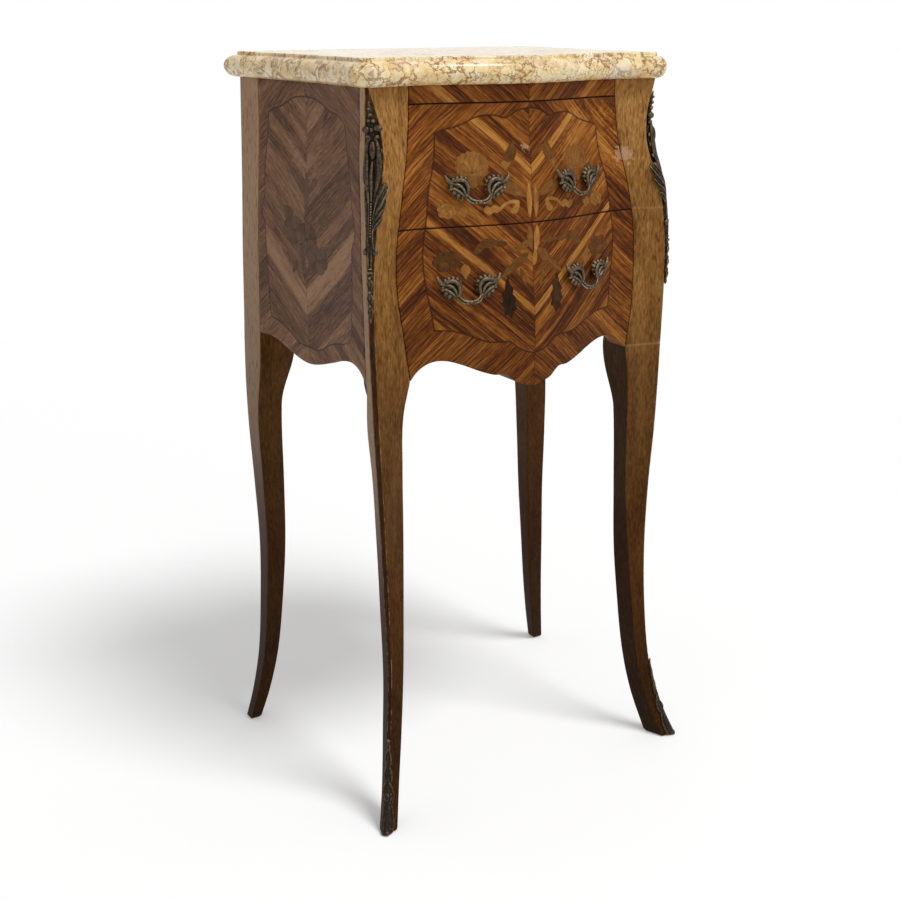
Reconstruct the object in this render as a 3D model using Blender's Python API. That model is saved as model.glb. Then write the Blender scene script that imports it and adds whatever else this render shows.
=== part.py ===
"""Two-drawer bedside commode with a moulded marble top, a bombe case and four cabriole legs.

Metres, +Z up, +X to the right, the front faces -Y. The origin is on the floor under the middle.
A place on a post is a number: 0 at the floor, 1 at the knee and 2 at the top of the case.
"""

import math

import bmesh
import bpy
from mathutils import Matrix, Vector

# Overall sizes
HEIGHT = 0.740
MARBLE_THICKNESS = 0.025
KNEE_HEIGHT = 0.445
FRONT_HALF = 0.1617
NECK_FORWARD = 0.1062
BACK_SPREAD = 0.0141
BACK_HALF = FRONT_HALF + BACK_SPREAD
BACK_DEPTH = 0.1446
POST_FACE = 0.0447
OPENING_HALF = FRONT_HALF - POST_FACE
POST_SET_BACK = 0.0093
OPENING_FORWARD = NECK_FORWARD - POST_SET_BACK
FRONT_BOW = 0.0200
FRONT_SCOOP = 1.4
SIDE_HOLLOW = 0.0060

# Clearances
SEAT_GAP = 0.0003
FIT_GAP = 0.0006
DRAWER_GAP = 0.0006
BOX_PLAY = 0.0030
HOLE_PLAY = 0.0004

# Front post and leg: how far each line stands from the neck, or how wide a face is, by place
RIDGE_OUT = (
    (0.0, 0.0235), (0.09, 0.0120), (0.20, 0.0044), (0.34, -0.0003), (0.49, -0.0005), (0.65, 0.0020),
    (0.81, 0.0063), (1.0, 0.0098), (1.31, 0.0118), (1.46, 0.0115), (1.61, 0.0085), (1.76, 0.0018),
    (1.87, 0.0), (2.0, 0.0026),
)
RIDGE_FORWARD = (
    (0.0, 0.0465), (0.09, 0.0316), (0.20, 0.0220), (0.34, 0.0174), (0.49, 0.0135), (0.65, 0.0132),
    (0.81, 0.0150), (1.0, 0.0150), (1.31, 0.0150), (1.46, 0.0148), (1.61, 0.0125), (1.76, 0.0036),
    (1.87, 0.0), (2.0, -0.0019),
)
CANT = (
    (0.0, 0.0020), (0.20, 0.0025), (0.49, 0.0030), (1.0, 0.0042), (1.31, 0.0043), (1.46, 0.0063),
    (1.61, 0.0091), (1.76, 0.0131), (1.87, 0.0105), (1.95, 0.0061), (2.0, 0.0028),
)
OPENING_OUT = (
    (1.0, 0.0110), (1.17, 0.0177), (1.31, 0.0214), (1.46, 0.0207), (1.61, 0.0142), (1.76, 0.0055),
    (1.87, 0.0017), (2.0, 0.0),
)
OPENING_BELLY = (
    (1.0, 0.0161), (1.17, 0.0159), (1.31, 0.0123), (1.46, 0.0107), (1.61, 0.0088), (1.76, 0.0037),
    (1.87, 0.0011), (2.0, 0.0),
)
LEG_FACE = (
    (0.0, 0.0154), (0.09, 0.0150), (0.20, 0.0164), (0.34, 0.0176), (0.49, 0.0216), (0.65, 0.0275),
    (0.81, 0.0322), (0.92, 0.0356),
)
LEG_FACE_TURN = (
    (0.0, 0.0022), (0.34, 0.0026), (0.49, 0.0038), (0.65, 0.0080), (0.81, 0.0104), (0.92, 0.0103),
)
LEG_SIDE = ((0.0, 0.0150), (0.09, 0.0145), (0.34, 0.0166), (0.65, 0.0215), (0.81, 0.0242), (1.0, 0.0300))
LEG_SIDE_TURN = ((0.0, 0.0020), (0.34, 0.0018), (0.65, 0.0043), (0.81, 0.0054), (1.0, 0.0025))
LEG_INNER = (
    (0.0, 0.0240), (0.09, 0.0215), (0.34, 0.0228), (0.49, 0.0253), (0.65, 0.0282), (0.81, 0.0329),
    (1.0, 0.0388),
)
POST_STRIP = 0.0105
POST_BODY = 0.0219
POST_TONGUE_FORWARD = OPENING_FORWARD - POST_BODY
SHOULDER_RISE = 0.0010

# Back post and leg
BACK_OUT = (
    (0.0, 0.0276), (0.09, 0.0200), (0.20, 0.0137), (0.34, 0.0102), (0.49, 0.0081), (0.65, 0.0099),
    (0.81, 0.0116), (1.0, 0.0083), (1.38, 0.0053), (1.61, 0.0029), (2.0, 0.0),
)
BACK_LEAN = (
    (0.0, -0.0023), (0.09, -0.0090), (0.20, -0.0144), (0.34, -0.0166), (0.49, -0.0164),
    (0.65, -0.0133), (0.81, -0.0082), (0.92, -0.0021), (1.0, 0.0), (2.0, 0.0),
)
BACK_SQUARE = (
    (0.0, 0.0127), (0.09, 0.0147), (0.20, 0.0168), (0.34, 0.0192), (0.49, 0.0217), (0.65, 0.0248),
    (0.81, 0.0277), (0.92, 0.0303), (1.0, 0.0325), (2.0, 0.0345),
)
BACK_POST_FACE = 0.0278
BACK_INNER = BACK_HALF - BACK_POST_FACE
BACK_TONGUE = 0.0180
STILE_FADE = 0.8
LEG_RINGS = 28
FOOT_CROWDING = 1.25
CASE_RINGS = 20

# Panels and boards
PANEL_THICKNESS = 0.0120
BACK_PANEL_THICKNESS = 0.0070
BACK_PANEL_INSET = 0.0020
BACK_PANEL_RISE = 0.0120
BOARD_THICKNESS = 0.0080
BOTTOM_BOARD_RISE = 0.0200
TOP_RAIL_HEIGHT = 0.0160
TOP_BACK_RAIL_HEIGHT = 0.0220
TOP_BACK_RAIL_DEPTH = 0.0180
TOP_SIDE_RAIL_WIDTH = 0.0180
GUIDE_WIDTH = 0.0090
GUIDE_HEIGHT = 0.0120
STOP_SIZE = (0.0200, 0.0110, 0.0140)
STOP_SPREAD = 0.0500
# Lower edges of the aprons: rise over the knee against the share of the way along the edge
FRONT_APRON = (
    (0.0, -0.0168), (0.05, -0.0155), (0.11, -0.0130), (0.16, -0.0105), (0.205, -0.0055), (0.245, -0.0020),
    (0.33, -0.0016), (0.39, 0.0005), (0.47, 0.0045), (0.58, 0.0110), (0.69, 0.0158), (0.78, 0.0165),
    (0.86, 0.0138), (0.94, 0.0078), (1.0, 0.0008),
)
SIDE_APRON = (
    (0.0, 0.0016), (0.02, 0.0060), (0.05, 0.0115), (0.09, 0.0155), (0.135, 0.0170), (0.18, 0.0162),
    (0.23, 0.0140), (0.32, 0.0086), (0.41, 0.0022), (0.495, -0.0020), (0.55, -0.0032), (0.625, -0.0020),
    (0.69, 0.0010), (0.755, 0.0046), (0.83, 0.0090), (0.90, 0.0110), (1.0, 0.0102),
)

# Drawers
UPPER_SHARE = 0.4386
UPPER_FRONT_EDGE = 0.0199
UPPER_FLAT_BACK = OPENING_FORWARD - UPPER_FRONT_EDGE
LOWER_FRONT_EDGE = 0.0099
LOWER_FLAT_BACK = OPENING_FORWARD - LOWER_FRONT_EDGE
STOP_ROOM = 0.0060
DRAWER_WALL = 0.0080
DRAWER_BOTTOM = 0.0050
DRAWER_BOTTOM_RISE = 0.0060
DRAWER_TOP_PLAY = 0.0090
UPPER_COLUMNS = 20
LOWER_COLUMNS = 40
FRONT_ROWS = 8
PANEL_COLUMNS = 24
PANEL_ROWS = CASE_RINGS

# Handles and their bolts
UPPER_HANDLE_SHARE = 0.488
LOWER_HANDLE_SHARE = 0.585
UPPER_HANDLE_DEEP = 0.685
LOWER_HANDLE_DEEP = 0.495
UPPER_HANDLE_X = UPPER_HANDLE_SHARE * OPENING_HALF
LOWER_HANDLE_X = LOWER_HANDLE_SHARE * OPENING_HALF
BOLT_SPREAD = 0.0190
BOLT_RADIUS = 0.0020
BOLT_SIDES = 12
NUT_SIDES = 6
NUT_RADIUS = 0.0045
NUT_THICKNESS = 0.0030
BOSS_RADIUS = 0.0038
BOSS_LENGTH = 0.0035
BOSS_SIDES = 10
LEAF_LENGTH = 0.0125
LEAF_WIDTH = 0.0072
LEAF_DEPTH = 0.0032
LEAF_TILT = math.radians(35)
LEAF_RISE = 0.0020
LEAF_FACETS = (12, 8)
FINGER_REACH = 0.0125
FINGER_RISE = 0.0100
FINGER_RADIUS = 0.0022
FINGER_SHARES = (0.35, 0.7, 1.0)
BAIL_RADIUS = 0.0020
BAIL_HALF = 0.0105
BAIL_TOP = 0.0035
BAIL_DROP = 0.0095
BAIL_SWING = 0.0085
BAIL_POINTS = 11

# Bronze mounts
CHUTE_TOP = 1.962
CHUTE_BOTTOM = 1.235
CHUTE_WIDTH = (
    (0.0, 0.0040), (0.06, 0.0070), (0.11, 0.0085), (0.14, 0.0150), (0.20, 0.0140), (0.27, 0.0190),
    (0.36, 0.0190), (0.42, 0.0230), (0.47, 0.0190), (0.55, 0.0100), (0.61, 0.0075), (0.67, 0.0100),
    (0.73, 0.0070), (0.82, 0.0055), (0.95, 0.0050), (1.0, 0.0028),
)
CHUTE_SECTION = ((-1, 0), (-0.72, 0.7), (0, 1), (0.72, 0.7), (1, 0))
CHUTE_RELIEF = (
    (0.0, 0.0020), (0.14, 0.0055), (0.27, 0.0070), (0.42, 0.0066), (0.55, 0.0048), (0.67, 0.0050),
    (0.82, 0.0040), (1.0, 0.0018),
)
SABOT_HEIGHT = 0.0900
SABOT_LIFT = 0.0012
SABOT_WING = ((0.0, 0.0088), (0.35, 0.0080), (0.75, 0.0050), (1.0, 0.0020))
SABOT_THICKNESS = ((0.0, 0.0032), (0.2, 0.0026), (0.6, 0.0030), (1.0, 0.0012))

# Marble top
MARBLE_OVERHANG = 0.0125
MARBLE_BACK_OVERHANG = 0.0114
MARBLE_CANT = 0.0050
MARBLE_SOFTENING = 0.0060
EDGE_SHARE = 0.45
CORNER_ANGLE = math.radians(12)
MARBLE_EDGE = (
    (0.0120, 1.0), (0.0105, 0.985), (0.0098, 0.86), (0.0060, 0.83), (0.0022, 0.70), (0.0, 0.48),
    (0.0008, 0.26), (0.0035, 0.08), (0.0075, 0.0), (0.0120, 0.0),
)
MARBLE_FRONT_POINTS = 12
MARBLE_SIDE_POINTS = 10
SHARP_ANGLE = math.radians(35)

# Worked-out levels
CASE_TOP = HEIGHT - MARBLE_THICKNESS - SEAT_GAP
RAIL_BOTTOM = CASE_TOP - TOP_RAIL_HEIGHT
UPPER_TOP = RAIL_BOTTOM - DRAWER_GAP
UPPER_BOTTOM = UPPER_TOP - UPPER_SHARE * (UPPER_TOP - KNEE_HEIGHT)
LOWER_TOP = UPPER_BOTTOM - DRAWER_GAP
DUST_BOARD_TOP = UPPER_BOTTOM + BOARD_THICKNESS / 2
DUST_BOARD_BOTTOM = DUST_BOARD_TOP - BOARD_THICKNESS
BOTTOM_BOARD_BOTTOM = KNEE_HEIGHT + BOTTOM_BOARD_RISE
BOTTOM_BOARD_TOP = BOTTOM_BOARD_BOTTOM + BOARD_THICKNESS
BACK_PANEL_FACE = BACK_DEPTH - BACK_PANEL_INSET - BACK_PANEL_THICKNESS
DRAWER_BACK_DEPTH = BACK_PANEL_FACE - STOP_ROOM - STOP_SIZE[1] - FIT_GAP
UPPER_HANDLE_DROP = UPPER_HANDLE_DEEP * (UPPER_TOP - UPPER_BOTTOM)
LOWER_HANDLE_DROP = LOWER_HANDLE_DEEP * (LOWER_TOP - BOTTOM_BOARD_TOP)
UPPER_BOX_HALF = OPENING_HALF - BOX_PLAY
SIDES = (("left", -1), ("right", 1))


def along(stations, place):
    """Read a smooth curve through (place, size) stations, level with the end stations beyond them."""
    if place <= stations[0][0]:
        return stations[0][1]
    if place >= stations[-1][0]:
        return stations[-1][1]
    last = len(stations) - 1
    k = next(i for i in range(last) if place <= stations[i + 1][0])

    def slope(i):
        a, b = stations[max(i - 1, 0)], stations[min(i + 1, last)]
        return (b[1] - a[1]) / (b[0] - a[0])

    (p0, v0), (p1, v1) = stations[k], stations[k + 1]
    step = p1 - p0
    t = (place - p0) / step
    rise = t * t * (3 - 2 * t)
    return v0 + (v1 - v0) * rise + step * t * (1 - t) * (slope(k) * (1 - t) - slope(k + 1) * t)


def height_of(place):
    """Height over the floor of a place on a post."""
    if place <= 1:
        return KNEE_HEIGHT * place
    return KNEE_HEIGHT + (CASE_TOP - KNEE_HEIGHT) * (place - 1)


def place_of(height):
    """Place on a post at a height over the floor."""
    if height <= KNEE_HEIGHT:
        return height / KNEE_HEIGHT
    return 1 + (height - KNEE_HEIGHT) / (CASE_TOP - KNEE_HEIGHT)


def ridge_at(place):
    """The sharp outer corner that a front post would have without its cant, on the right."""
    x = FRONT_HALF + along(RIDGE_OUT, place)
    return Vector((x, -NECK_FORWARD - along(RIDGE_FORWARD, place)))


def opening_half(place):
    """Half the width between the front posts."""
    return OPENING_HALF + along(OPENING_OUT, place)


def opening_forward(place):
    """How far forward the ends of the drawer fronts stand."""
    return OPENING_FORWARD + along(OPENING_BELLY, place)


def back_corner(place):
    """The outer back corner of the right back post."""
    return Vector((BACK_HALF + along(BACK_OUT, place), BACK_DEPTH + along(BACK_LEAN, place)))


def side_x(y, place):
    """Outer face of the right side of the case, hollow in plan, at a depth and a place."""
    ridge = ridge_at(place)
    corner = back_corner(place)
    start = ridge.y + along(CANT, place)
    t = (y - start) / (corner.y - start)
    return ridge.x + (corner.x - ridge.x) * t - 4 * SIDE_HOLLOW * t * (1 - t)


def strip_y(place):
    """Where the front post's side strip ends and the side panel starts."""
    return ridge_at(place).y + along(CANT, place) + POST_STRIP


def stile_y(place):
    """Where the side panel ends and the back post's stile starts."""
    return back_corner(place).y - along(BACK_SQUARE, place)


def panel_inner_x(y, place):
    """Inner face of the side panel, with the fit of what lies against it taken off."""
    return side_x(y, place) - PANEL_THICKNESS - FIT_GAP


def front_y(share, place):
    """The serpentine, bellied front: bowed at share 0, scooped beside the posts at share 1."""
    bow = (1 - share * share) * (1 - FRONT_SCOOP * share * share)
    return -opening_forward(place) - FRONT_BOW * bow


def finish(name, colour, roughness, metallic=0.0):
    """A Principled material."""
    material = bpy.data.materials.new(name)
    material.use_nodes = True
    shader = material.node_tree.nodes["Principled BSDF"]
    shader.inputs["Base Color"].default_value = (*colour, 1.0)
    shader.inputs["Roughness"].default_value = roughness
    shader.inputs["Metallic"].default_value = metallic
    return material


WOOD = {"colour": (0.28, 0.15, 0.06), "roughness": 0.42}
VENEER = {"colour": (0.24, 0.10, 0.035), "roughness": 0.36}
PINE = {"colour": (0.52, 0.36, 0.19), "roughness": 0.70}
MARBLE = {"colour": (0.72, 0.55, 0.30), "roughness": 0.20}
BRONZE = {"colour": (0.17, 0.14, 0.09), "roughness": 0.45, "metallic": 0.9}
STEEL = {"colour": (0.45, 0.44, 0.42), "roughness": 0.40, "metallic": 1.0}


def add_part(name, mesh, look):
    """Give a mesh an object in the nightstand's collection, with its own material."""
    mesh.shade_smooth()
    mesh.set_sharp_from_angle(angle=SHARP_ANGLE)
    mesh.materials.clear()
    mesh.materials.append(finish(name, **look))
    part = bpy.data.objects.new(name, mesh)
    PARTS.objects.link(part)
    return part


def mesh_from(bm, name):
    """Turn a bmesh into a mesh whose faces point out."""
    bmesh.ops.recalc_face_normals(bm, faces=bm.faces)
    mesh = bpy.data.meshes.new(name)
    bm.to_mesh(mesh)
    bm.free()
    return mesh


def loft(name, rings):
    """A closed body through rings of equally many points, capped at both ends."""
    bm = bmesh.new()
    rows = [[bm.verts.new(point) for point in ring] for ring in rings]
    count = len(rows[0])
    for low, high in zip(rows, rows[1:]):
        for i in range(count):
            j = (i + 1) % count
            bm.faces.new((low[i], low[j], high[j], high[i]))
    bm.faces.new(list(reversed(rows[0])))
    bm.faces.new(rows[-1])
    return mesh_from(bm, name)


def shaped_slab(name, columns, rows, surface, flat):
    """A grid laid on a surface(u, v) and drawn out to flat(point) behind it."""
    bm = bmesh.new()
    bmesh.ops.create_grid(bm, x_segments=columns, y_segments=rows, size=0.5)
    for vert in bm.verts:
        vert.co = surface(vert.co.x + 0.5, vert.co.y + 0.5)
    drawn = bmesh.ops.extrude_face_region(bm, geom=bm.faces[:], use_keep_orig=True)
    for item in drawn["geom"]:
        if isinstance(item, bmesh.types.BMVert):
            item.co = flat(item.co)
    return mesh_from(bm, name)


def block(name, low, high):
    """A rectangular board between two corners."""
    bm = bmesh.new()
    bmesh.ops.create_cube(bm, size=1.0)
    low, high = Vector(low), Vector(high)
    size = high - low
    place = Matrix.Translation((low + high) / 2) @ Matrix.Diagonal((*size, 1))
    bmesh.ops.transform(bm, matrix=place, verts=bm.verts)
    return mesh_from(bm, name)


def outline_board(name, outline, low, high, look):
    """A flat board of a drawn outline between two heights."""
    curve = bpy.data.curves.new(name, "CURVE")
    curve.dimensions = "2D"
    curve.fill_mode = "BOTH"
    curve.extrude = (high - low) / 2
    spline = curve.splines.new("POLY")
    spline.points.add(len(outline) - 1)
    for point, (x, y) in zip(spline.points, outline):
        point.co = (x, y, 0, 1)
    spline.use_cyclic_u = True
    drawn = bpy.data.objects.new(name + "_outline", curve)
    PARTS.objects.link(drawn)
    drawn.location.z = (low + high) / 2
    mesh = mesh_of(drawn)
    return add_part(name, mesh, look)


def mesh_of(drawn):
    """Make a curve object a welded mesh in place, and remove the curve."""
    bpy.context.view_layer.update()
    seen = drawn.evaluated_get(bpy.context.evaluated_depsgraph_get())
    mesh = bpy.data.meshes.new_from_object(seen)
    mesh.transform(drawn.matrix_world)
    bpy.data.objects.remove(drawn)
    bm = bmesh.new()
    bm.from_mesh(mesh)
    bmesh.ops.remove_doubles(bm, verts=bm.verts, dist=1e-6)
    bmesh.ops.recalc_face_normals(bm, faces=bm.faces)
    bm.to_mesh(mesh)
    bm.free()
    return mesh


def mirrored(points, side):
    """The same points on the right, or reflected to the left."""
    return [Vector((side * p.x, p.y)) for p in points]


def with_height(points, z):
    """Plan points lifted to a height."""
    return [(p.x, p.y, z) for p in points]


def cant_corners(place):
    """Both edges of a front post's canted face, front one first."""
    ridge = ridge_at(place)
    cant = along(CANT, place)
    return Vector((ridge.x - cant, ridge.y)), Vector((ridge.x, ridge.y + cant))


def front_leg_section(place):
    """Seven corners of the right front leg, from the inner edge of its front face round."""
    ridge = ridge_at(place)
    knee = ridge_at(1)
    face = (*LEG_FACE, (1.0, knee.x - opening_half(1)))
    turn = (*LEG_FACE_TURN, (1.0, -opening_forward(1) - knee.y))
    front_edge, side_edge = cant_corners(place)
    inner_front = ridge + Vector((-along(face, place), along(turn, place)))
    side_back = ridge + Vector((-along(LEG_SIDE_TURN, place), along(LEG_SIDE, place)))
    inner = ridge + Vector((-1, 1)) * along(LEG_INNER, place)
    return [inner_front, front_edge, side_edge, side_back,
            side_back.lerp(inner, 1 / 3), side_back.lerp(inner, 2 / 3), inner]


def front_post_section(place):
    """Seven corners of the right front post, rebated at the side for the panel."""
    front_edge, side_edge = cant_corners(place)
    half = opening_half(place)
    edge = strip_y(place)
    tongue = -POST_TONGUE_FORWARD
    return [Vector((half, -opening_forward(place))), front_edge, side_edge,
            Vector((side_x(edge, place), edge)), Vector((panel_inner_x(edge, place), edge)),
            Vector((panel_inner_x(tongue, place), tongue)), Vector((half, tongue))]


def back_leg_section(place):
    """Six corners of the right back leg, from its outer back corner round by the side."""
    corner = back_corner(place)
    square = along(BACK_SQUARE, place)
    stile = corner + Vector((0, -square))
    inner = corner + Vector((-square, -square))
    fade = max(0, (place - STILE_FADE) / (1 - STILE_FADE))
    stile.x -= (back_corner(1).x - side_x(stile_y(1), 1)) * fade
    return [corner, stile, stile.lerp(inner, 1 / 3), stile.lerp(inner, 2 / 3), inner,
            corner + Vector((-square, 0))]


def back_post_section(place):
    """Six corners of the right back post, rebated for the side panel."""
    corner = back_corner(place)
    edge = stile_y(place)
    tongue = edge - BACK_TONGUE
    return [corner, Vector((side_x(edge, place), edge)), Vector((panel_inner_x(edge, place), edge)),
            Vector((panel_inner_x(tongue, place), tongue)), Vector((BACK_INNER, tongue)),
            Vector((BACK_INNER, corner.y))]


def leg_places():
    """Places of the leg's rings, closer together at the foot."""
    return [(i / LEG_RINGS) ** FOOT_CROWDING for i in range(LEG_RINGS + 1)]


def case_places():
    """Places of the post's rings over the knee's shoulder."""
    start = place_of(KNEE_HEIGHT + SHOULDER_RISE)
    return [start + (2 - start) * i / CASE_RINGS for i in range(CASE_RINGS + 1)]


def build_posts():
    """Four posts, each in one with its cabriole leg."""
    kinds = (("front", front_leg_section, front_post_section), ("back", back_leg_section, back_post_section))
    for where, leg_section, post_section in kinds:
        levels = [(p, leg_section) for p in leg_places()] + [(p, post_section) for p in case_places()]
        for hand, side in SIDES:
            rings = [with_height(mirrored(section(p), side), height_of(p)) for p, section in levels]
            name = f"{where}_{hand}_post"
            add_part(name, loft(name, rings), WOOD)


def build_side_panels():
    """Hollow side panels with scalloped lower edges, let into the posts."""
    for hand, side in SIDES:
        def surface(u, v, side=side):
            low = KNEE_HEIGHT + along(SIDE_APRON, u)
            z = low + (CASE_TOP - low) * v
            place = place_of(z)
            start = strip_y(place) + SEAT_GAP
            y = start + (stile_y(place) - SEAT_GAP - start) * u
            return Vector((side * side_x(y, place), y, z))

        def flat(point, side=side):
            return point - Vector((side * PANEL_THICKNESS, 0, 0))

        name = f"{hand}_side_panel"
        add_part(name, shaped_slab(name, PANEL_COLUMNS, PANEL_ROWS, surface, flat), VENEER)


def build_back():
    """Back panel, and the rails that carry the marble behind and at the sides."""
    half = BACK_INNER - FIT_GAP
    low = (-half, BACK_PANEL_FACE, KNEE_HEIGHT + BACK_PANEL_RISE)
    high = (half, BACK_PANEL_FACE + BACK_PANEL_THICKNESS, CASE_TOP)
    add_part("back_panel", block("back_panel", low, high), PINE)
    rail_back = BACK_PANEL_FACE - SEAT_GAP
    low = (-half, rail_back - TOP_BACK_RAIL_DEPTH, CASE_TOP - TOP_BACK_RAIL_HEIGHT)
    add_part("top_back_rail", block("top_back_rail", low, (half, rail_back, CASE_TOP)), PINE)
    start = -POST_TONGUE_FORWARD + SEAT_GAP
    end = stile_y(2) - BACK_TONGUE - SEAT_GAP
    low_place = place_of(RAIL_BOTTOM)
    steps = [start + (end - start) * i / PANEL_COLUMNS for i in range(PANEL_COLUMNS + 1)]
    outer = min(panel_inner_x(y, place) for y in steps for place in (low_place, 2))
    for hand, side in SIDES:
        xs = sorted((side * outer, side * (outer - TOP_SIDE_RAIL_WIDTH)))
        name = f"{hand}_top_rail"
        add_part(name, block(name, (xs[0], start, RAIL_BOTTOM), (xs[1], end, CASE_TOP)), PINE)


def board_outline(low, high, front):
    """Outline of a level board that fills the case between the posts, panels and back."""
    places = (place_of(low), place_of(high))
    half = min(opening_half(p) for p in places) - FIT_GAP
    wide_start = -POST_TONGUE_FORWARD + SEAT_GAP
    wide_end = min(stile_y(p) for p in places) - BACK_TONGUE - SEAT_GAP
    back = BACK_PANEL_FACE - SEAT_GAP
    right = [(half, front), (half, wide_start)]
    for i in range(PANEL_COLUMNS + 1):
        y = wide_start + (wide_end - wide_start) * i / PANEL_COLUMNS
        right.append((min(panel_inner_x(y, p) for p in places), y))
    right += [(BACK_INNER - FIT_GAP, wide_end), (BACK_INNER - FIT_GAP, back)]
    return right + [(-x, y) for x, y in reversed(right)]


def build_boards():
    """Dust board between the drawers and bottom board, each with two guides and two stops."""
    lower_half = lower_box_half()
    kinds = (
        ("upper", "dust_board", DUST_BOARD_BOTTOM, DUST_BOARD_TOP, UPPER_FLAT_BACK, UPPER_BOX_HALF),
        ("lower", "bottom_board", BOTTOM_BOARD_BOTTOM, BOTTOM_BOARD_TOP, LOWER_FLAT_BACK, lower_half),
    )
    front = DRAWER_GAP - min(UPPER_FLAT_BACK, LOWER_FLAT_BACK)
    for level, name, low, high, flat_back, box_half in kinds:
        outline_board(name, board_outline(low, high, front), low, high, PINE)
        seat = high + SEAT_GAP
        guide_start = -POST_TONGUE_FORWARD + SEAT_GAP
        guide_end = stile_y(place_of(seat)) - BACK_TONGUE - SEAT_GAP
        for hand, side in SIDES:
            inner = box_half + FIT_GAP
            xs = sorted((side * inner, side * (inner + GUIDE_WIDTH)))
            guide = f"{level}_{hand}_guide"
            corners = (xs[0], guide_start, seat), (xs[1], guide_end, seat + GUIDE_HEIGHT)
            add_part(guide, block(guide, *corners), PINE)
            stop = f"{level}_{hand}_stop"
            wide, deep, tall = STOP_SIZE
            start = DRAWER_BACK_DEPTH + FIT_GAP
            low_corner = (side * STOP_SPREAD - wide / 2, start, seat)
            high_corner = (side * STOP_SPREAD + wide / 2, start + deep, seat + tall)
            add_part(stop, block(stop, low_corner, high_corner), PINE)


def front_slab(name, columns, low_edge, top, flat_back, look):
    """A drawer front or rail: the bowed and bellied front over a flat back."""
    def surface(u, v):
        share = 2 * u - 1
        low = low_edge(abs(share))
        z = low + (top - low) * v
        place = max(place_of(z), 1.0)
        return Vector((share * (opening_half(place) - DRAWER_GAP), front_y(share, place), z))

    def flat(point):
        return Vector((point.x, -flat_back, point.z))

    return add_part(name, shaped_slab(name, columns, FRONT_ROWS, surface, flat), look)


def lower_box_half():
    """Half the lower drawer box's width: the narrowest of its opening, less the play."""
    return min(opening_half(place_of(BOTTOM_BOARD_TOP)), opening_half(place_of(LOWER_TOP))) - BOX_PLAY


def build_drawer(level, bottom, top, half, flat_back, edges):
    """One drawer: its front, two sides, a back and a bottom."""
    low_edge, front_top, columns = edges
    front = front_slab(f"{level}_drawer_front", columns, low_edge, front_top, flat_back, VENEER)
    start = -flat_back + SEAT_GAP
    end = DRAWER_BACK_DEPTH
    parts = [front]
    for hand, side in SIDES:
        xs = sorted((side * half, side * (half - DRAWER_WALL)))
        name = f"{level}_drawer_{hand}_side"
        parts.append(add_part(name, block(name, (xs[0], start, bottom), (xs[1], end, top)), PINE))
    inner = half - DRAWER_WALL - SEAT_GAP
    name = f"{level}_drawer_back"
    back_low = (-inner, end - DRAWER_WALL, bottom)
    parts.append(add_part(name, block(name, back_low, (inner, end, top)), PINE))
    name = f"{level}_drawer_bottom"
    base = bottom + DRAWER_BOTTOM_RISE
    corners = (-inner, start, base), (inner, end - DRAWER_WALL - SEAT_GAP, base + DRAWER_BOTTOM)
    parts.append(add_part(name, block(name, *corners), PINE))
    return parts


def tube(name, points, radius):
    """A round bar along points, made a mesh."""
    curve = bpy.data.curves.new(name, "CURVE")
    curve.dimensions = "3D"
    curve.bevel_depth = radius
    curve.bevel_resolution = 2
    curve.use_fill_caps = True
    spline = curve.splines.new("POLY")
    spline.points.add(len(points) - 1)
    for point, place in zip(spline.points, points):
        point.co = (*place, 1)
    drawn = bpy.data.objects.new(name, curve)
    PARTS.objects.link(drawn)
    return mesh_of(drawn)


def cylinder_mesh(name, radius, start, end, sides):
    """A cylinder along Y between two depths."""
    bm = bmesh.new()
    turn = Matrix.Rotation(math.pi / 2, 4, "X")
    place = Matrix.Translation((0, (start + end) / 2, 0)) @ turn
    bmesh.ops.create_cone(bm, cap_ends=True, segments=sides, radius1=radius, radius2=radius,
                          depth=abs(end - start), matrix=place)
    return mesh_from(bm, name)


def joined(name, meshes):
    """Fuse closed meshes into one body with Boolean unions."""
    base = bpy.data.objects.new(name, meshes[0])
    PARTS.objects.link(base)
    for other in meshes[1:]:
        tool = bpy.data.objects.new(name + "_tool", other)
        PARTS.objects.link(tool)
        union = base.modifiers.new("union", "BOOLEAN")
        union.operation = "UNION"
        union.object = tool
        bpy.context.view_layer.update()
        seen = base.evaluated_get(bpy.context.evaluated_depsgraph_get())
        mesh = bpy.data.meshes.new_from_object(seen)
        base.modifiers.clear()
        base.data = mesh
        bpy.data.objects.remove(tool)
    mesh = base.data
    bpy.data.objects.remove(base)
    return mesh


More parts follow.
